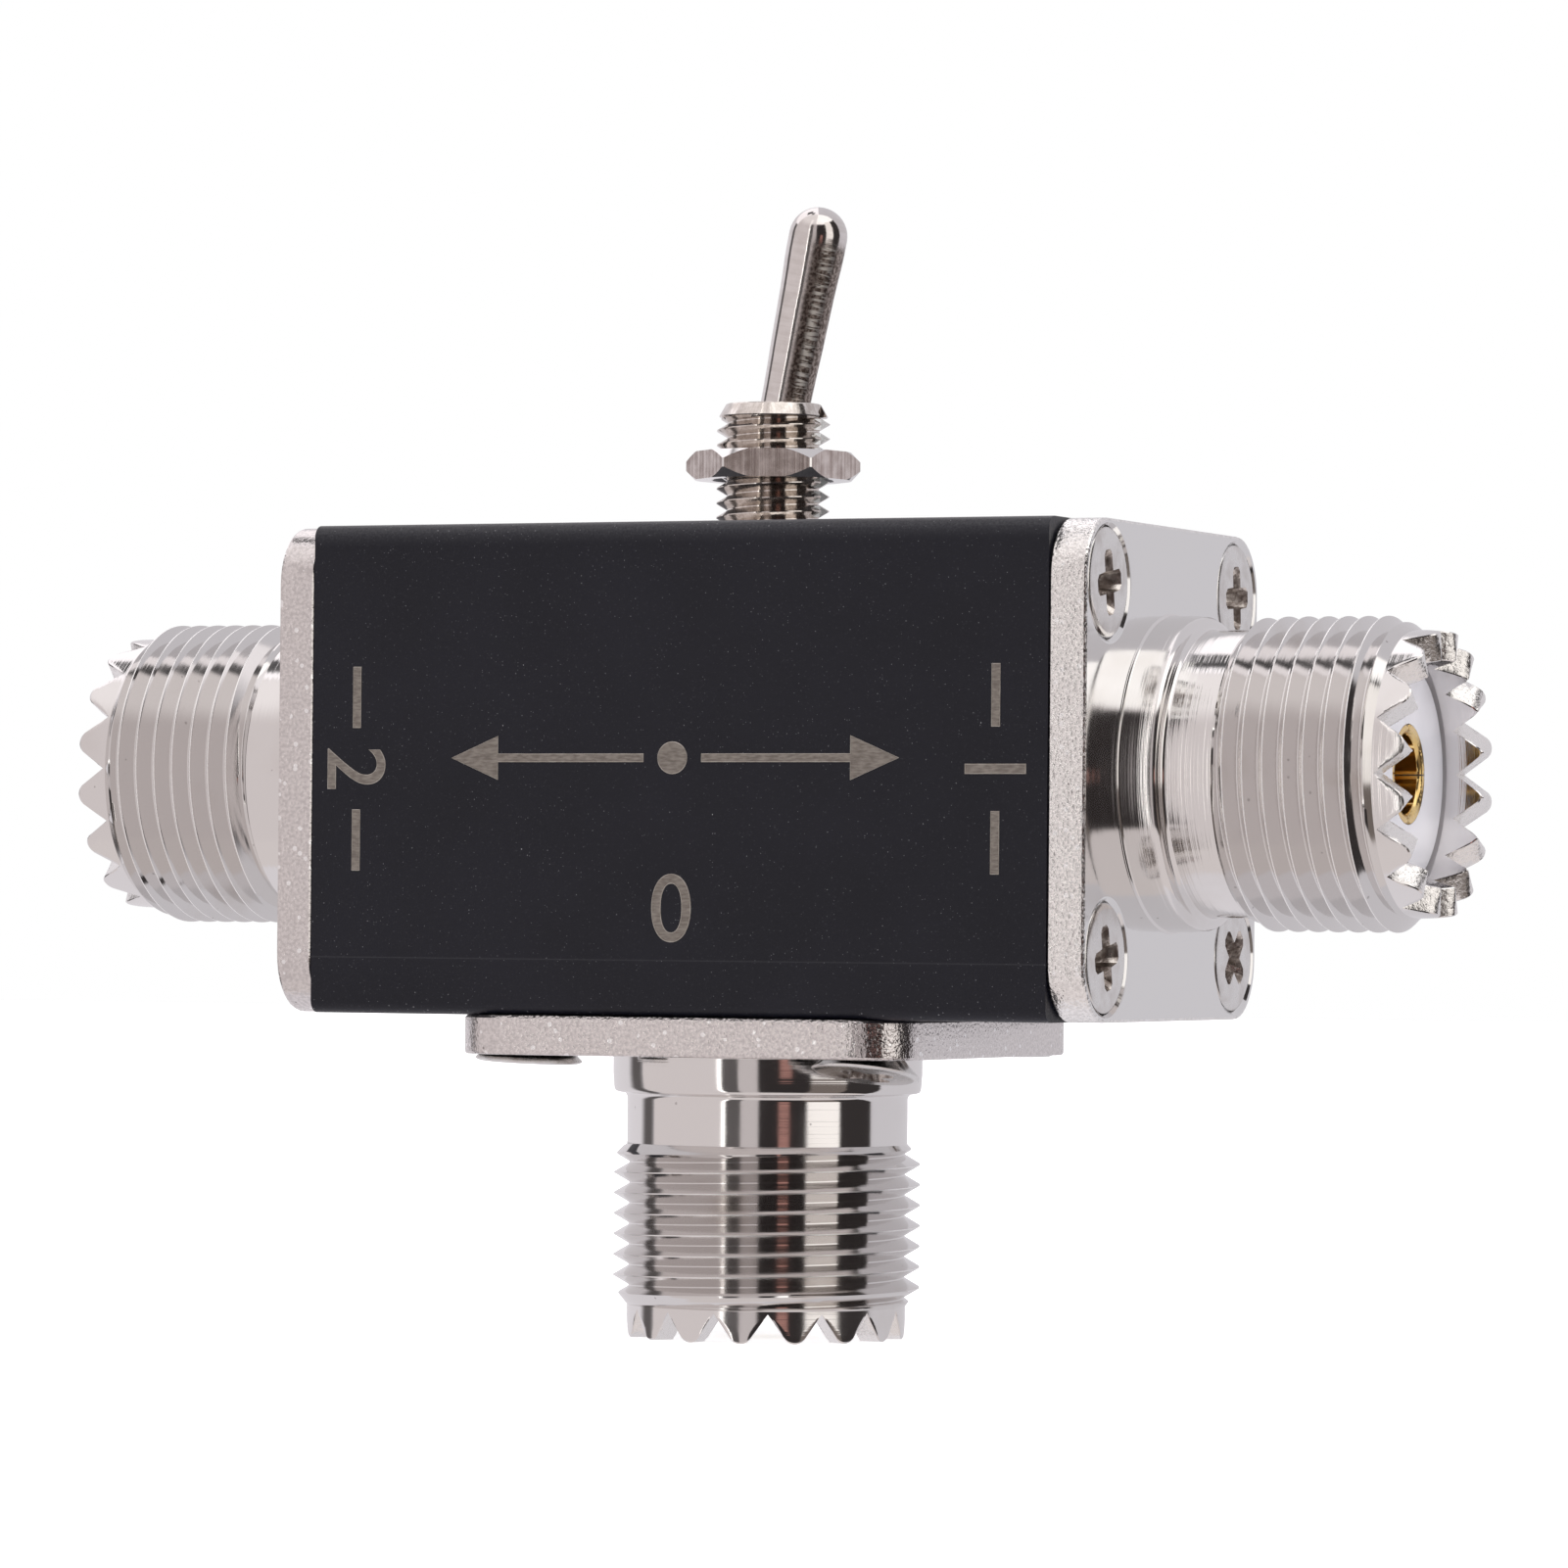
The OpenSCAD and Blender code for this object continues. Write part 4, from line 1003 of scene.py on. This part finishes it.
lever_profile = [
    (0, chamber_top), (tail_bore_r, chamber_top), (tail_bore_r, tail_end + 0.05),
    (tail_bore_r + 0.05, tail_end), (tail_r - 0.08, tail_end), (tail_r, tail_end + 0.08), (tail_r, -3.0),
    (tail_r, -1.5), *arc(ball_r, 0, -50, 43, 8),
    (1.275, 1.35), (1.275, 2.2), (1.28, 3.2), (1.29, 4.0), (1.32, 5.2), (1.365, 6.5), (1.39, 7.8),
    (1.42, 9.1), (1.46, 10.1), (1.5, 10.8), (tip_r, 11.3), (tip_r, lever_l),
    *arc(tip_r, lever_l, 9, 90, 9), (0, lever_l + tip_r)]
add_piece("turned_lever", [revolved("lever", lever_profile, 72, lever_nickel, 35.0)],
          lever_place, "lever", ["toggle_lever"])

# Coil spring of bright wire behind the plunger
coil_tree, sizes, result = geometry_tree("coil", {
    "Turns": 4.0, "Coil Radius": 0.6, "Height": 2.0, "Wire Radius": 0.1, "Material": "Material"})
path = add_node(coil_tree, "GeometryNodeCurveSpiral", {
    "Resolution": 24, "Rotations": sizes["Turns"], "Start Radius": sizes["Coil Radius"],
    "End Radius": sizes["Coil Radius"], "Height": sizes["Height"]})
wire_section = add_node(coil_tree, "GeometryNodeCurvePrimitiveCircle", {
    "Resolution": 10, "Radius": sizes["Wire Radius"]})
tube = add_node(coil_tree, "GeometryNodeCurveToMesh", {
    "Curve": path.outputs[0], "Profile Curve": wire_section.outputs[0], "Fill Caps": True})
feed(result, coat(tube.outputs[0], sizes["Material"]))
spring_wire = worn_nickel("spring_wire", (0.7, 0.68, 0.66), (0.5, 0.48, 0.46), (900.0, 900.0, 900.0), 0.2)
# Its lower end leaves room for the plunger's travel
plunger_top, plunger_travel, wire_r, spring_gap = -6.72, 0.4, 0.11, 0.02
spring_low = plunger_top + plunger_travel + wire_r + spring_gap
spring_high = chamber_top - wire_r - spring_gap
spring_mesh = grow(coil_tree, {"Turns": 5.0, "Coil Radius": 0.58, "Height": spring_high - spring_low,
                               "Wire Radius": wire_r, "Material": spring_wire})
add_piece("plunger_coil", [tidy_mesh(spring_mesh, 40.0)],
          lever_place @ Matrix.Translation((0, 0, spring_low)), "lever", ["plunger_spring"])
dress("lever_pin", spring_wire)

# ---- Inner pieces of the switch -----------------------------------------------
# Acetal plunger, silver-plated brass rocker and terminals, moulded case, steel bracket
# and tinned wires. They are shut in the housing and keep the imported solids' shapes.
acetal, _, _ = two_tone("acetal", 0.0, 0.4, (0.78, 0.77, 0.73), (0.86, 0.85, 0.81), Scale=800.0)
dress("plunger", acetal)

contact_brass = worn_nickel(
    "contact_brass", (0.83, 0.72, 0.47), (0.66, 0.52, 0.28), (1500.0, 1500.0, 200.0), 0.24)
for node in ("rocker_contact", "common_terminal", "port_1_terminal", "port_2_terminal"):
    dress(node, contact_brass)

phenolic, shader = new_material("red_phenolic", 0.0, 0.38)
flecks = texture(shader, specks, Scale=3200.0, Size=0.3, Share=0.3)
look(shader, blend_colour(flecks * 0.4, (0.27, 0.035, 0.03), (0.42, 0.08, 0.06)))
dress("switch_case", phenolic)
dress("switch_bracket", spring_wire)

tinned = worn_nickel("tinned_copper", (0.78, 0.74, 0.70), (0.62, 0.55, 0.49), (600.0, 600.0, 600.0), 0.28)
for port in socket_places:
    dress(port + "_wire", tinned)

# ---- Marks on the front face --------------------------------------------------
# Laser-etched into the anodising: plain numbers for the ports, and a double arrow in the
# middle that shows the two ways. Strokes are grey-brown with a paler edge.
etched, _, _ = two_tone("etched_mark", 0.6, 0.45, (0.145, 0.125, 0.11), (0.25, 0.225, 0.20),
                        Scale=1.0, Detail=2.0, Stretch=(2500.0, 300.0, 9000.0))
edge_etched, _, _ = two_tone("etched_edge", 0.7, 0.4, (0.30, 0.27, 0.24), (0.46, 0.43, 0.39),
                             Scale=3000.0, Detail=2.0)
face_y = face_inset - housing_w / 2
stroke_t, edge_w = 0.012, 0.05


def curve_mesh(data, material, edge=True):
    """Mesh of a curve or text, as a fine round edge or as it is."""
    if edge:
        data.bevel_depth = edge_w / 2
        data.bevel_resolution = 1
    mesh = plain_mesh(link_object("mark", data))
    mesh.materials.clear()
    mesh.materials.append(material)
    return mesh


def numeral(text, height, degrees, x, z):
    """A number, its middle at (x, z) on the front face, as a fill and a fine edge."""
    meshes = []
    for edge in (False, True):
        data = bpy.data.curves.new("numeral", "FONT")
        data.body, data.size = text, height / 0.7
        data.align_x = data.align_y = "CENTER"
        if edge:
            data.fill_mode = "NONE"
        else:
            data.extrude = stroke_t
        mesh = curve_mesh(data, edge_etched if edge else etched, edge=edge)
        middle = [(min(values) + max(values)) / 2 for values in zip(*(v.co for v in mesh.vertices))]
        mesh.transform(Matrix.Translation((-middle[0], -middle[1], 0)))
        mesh.transform(turn(degrees, "Z"))
        mesh.transform(Matrix.Translation((x, face_y, port_z + z)) @ turn(90, "X"))
        meshes.append(tidy_mesh(mesh, 30.0))
    return meshes


def outline_mark(shape):
    """A filled outline on the front face, given as (x, z) points, with a fine edge."""
    fill = loft("fill", [[(x, face_y + side * stroke_t, port_z + z) for x, z in shape] for side in (-1, 1)],
                etched, 30.0)
    data = bpy.data.curves.new("edge", "CURVE")
    data.dimensions = "3D"
    spline = data.splines.new("POLY")
    spline.points.add(len(shape) - 1)
    for point, (x, z) in zip(spline.points, shape):
        point.co = (x, face_y, port_z + z, 1)
    spline.use_cyclic_u = True
    return [fill, tidy_mesh(curve_mesh(data, edge_etched), 30.0)]


marks = []
numeral_h, rule_half, rule_from, rule_to = 3.3, 0.22, 2.1, 5.2
for text, x in (("1", 17.45), ("2", -17.7)):
    marks += numeral(text, numeral_h, -90, x, 0)
    for low, high in ((rule_from, rule_to), (-rule_to, -rule_from)):
        left, right = x - rule_half, x + rule_half
        marks += outline_mark([(left, low), (right, low), (right, high), (left, high)])
marks += numeral("0", numeral_h + 0.1, 0, 0, -7.0)
# Double arrow: a shaft and head to either side of a round hub
arrow_z, arrow_half, arrow_from, arrow_end, head_l, shaft_half, hub_r = 0.55, 1.1, 1.6, 12.3, 2.6, 0.2, 0.8
neck_x = arrow_end - head_l
for side in (-1, 1):
    marks += outline_mark([(side * x, arrow_z + z) for x, z in (
        (arrow_from, -shaft_half), (neck_x, -shaft_half), (neck_x, -arrow_half), (arrow_end, 0),
        (neck_x, arrow_half), (neck_x, shaft_half), (arrow_from, shaft_half))])
marks += outline_mark(circle(hub_r, 32, 0, arrow_z))
add_piece("etched_marks", marks, Matrix.Identity(4), "root")
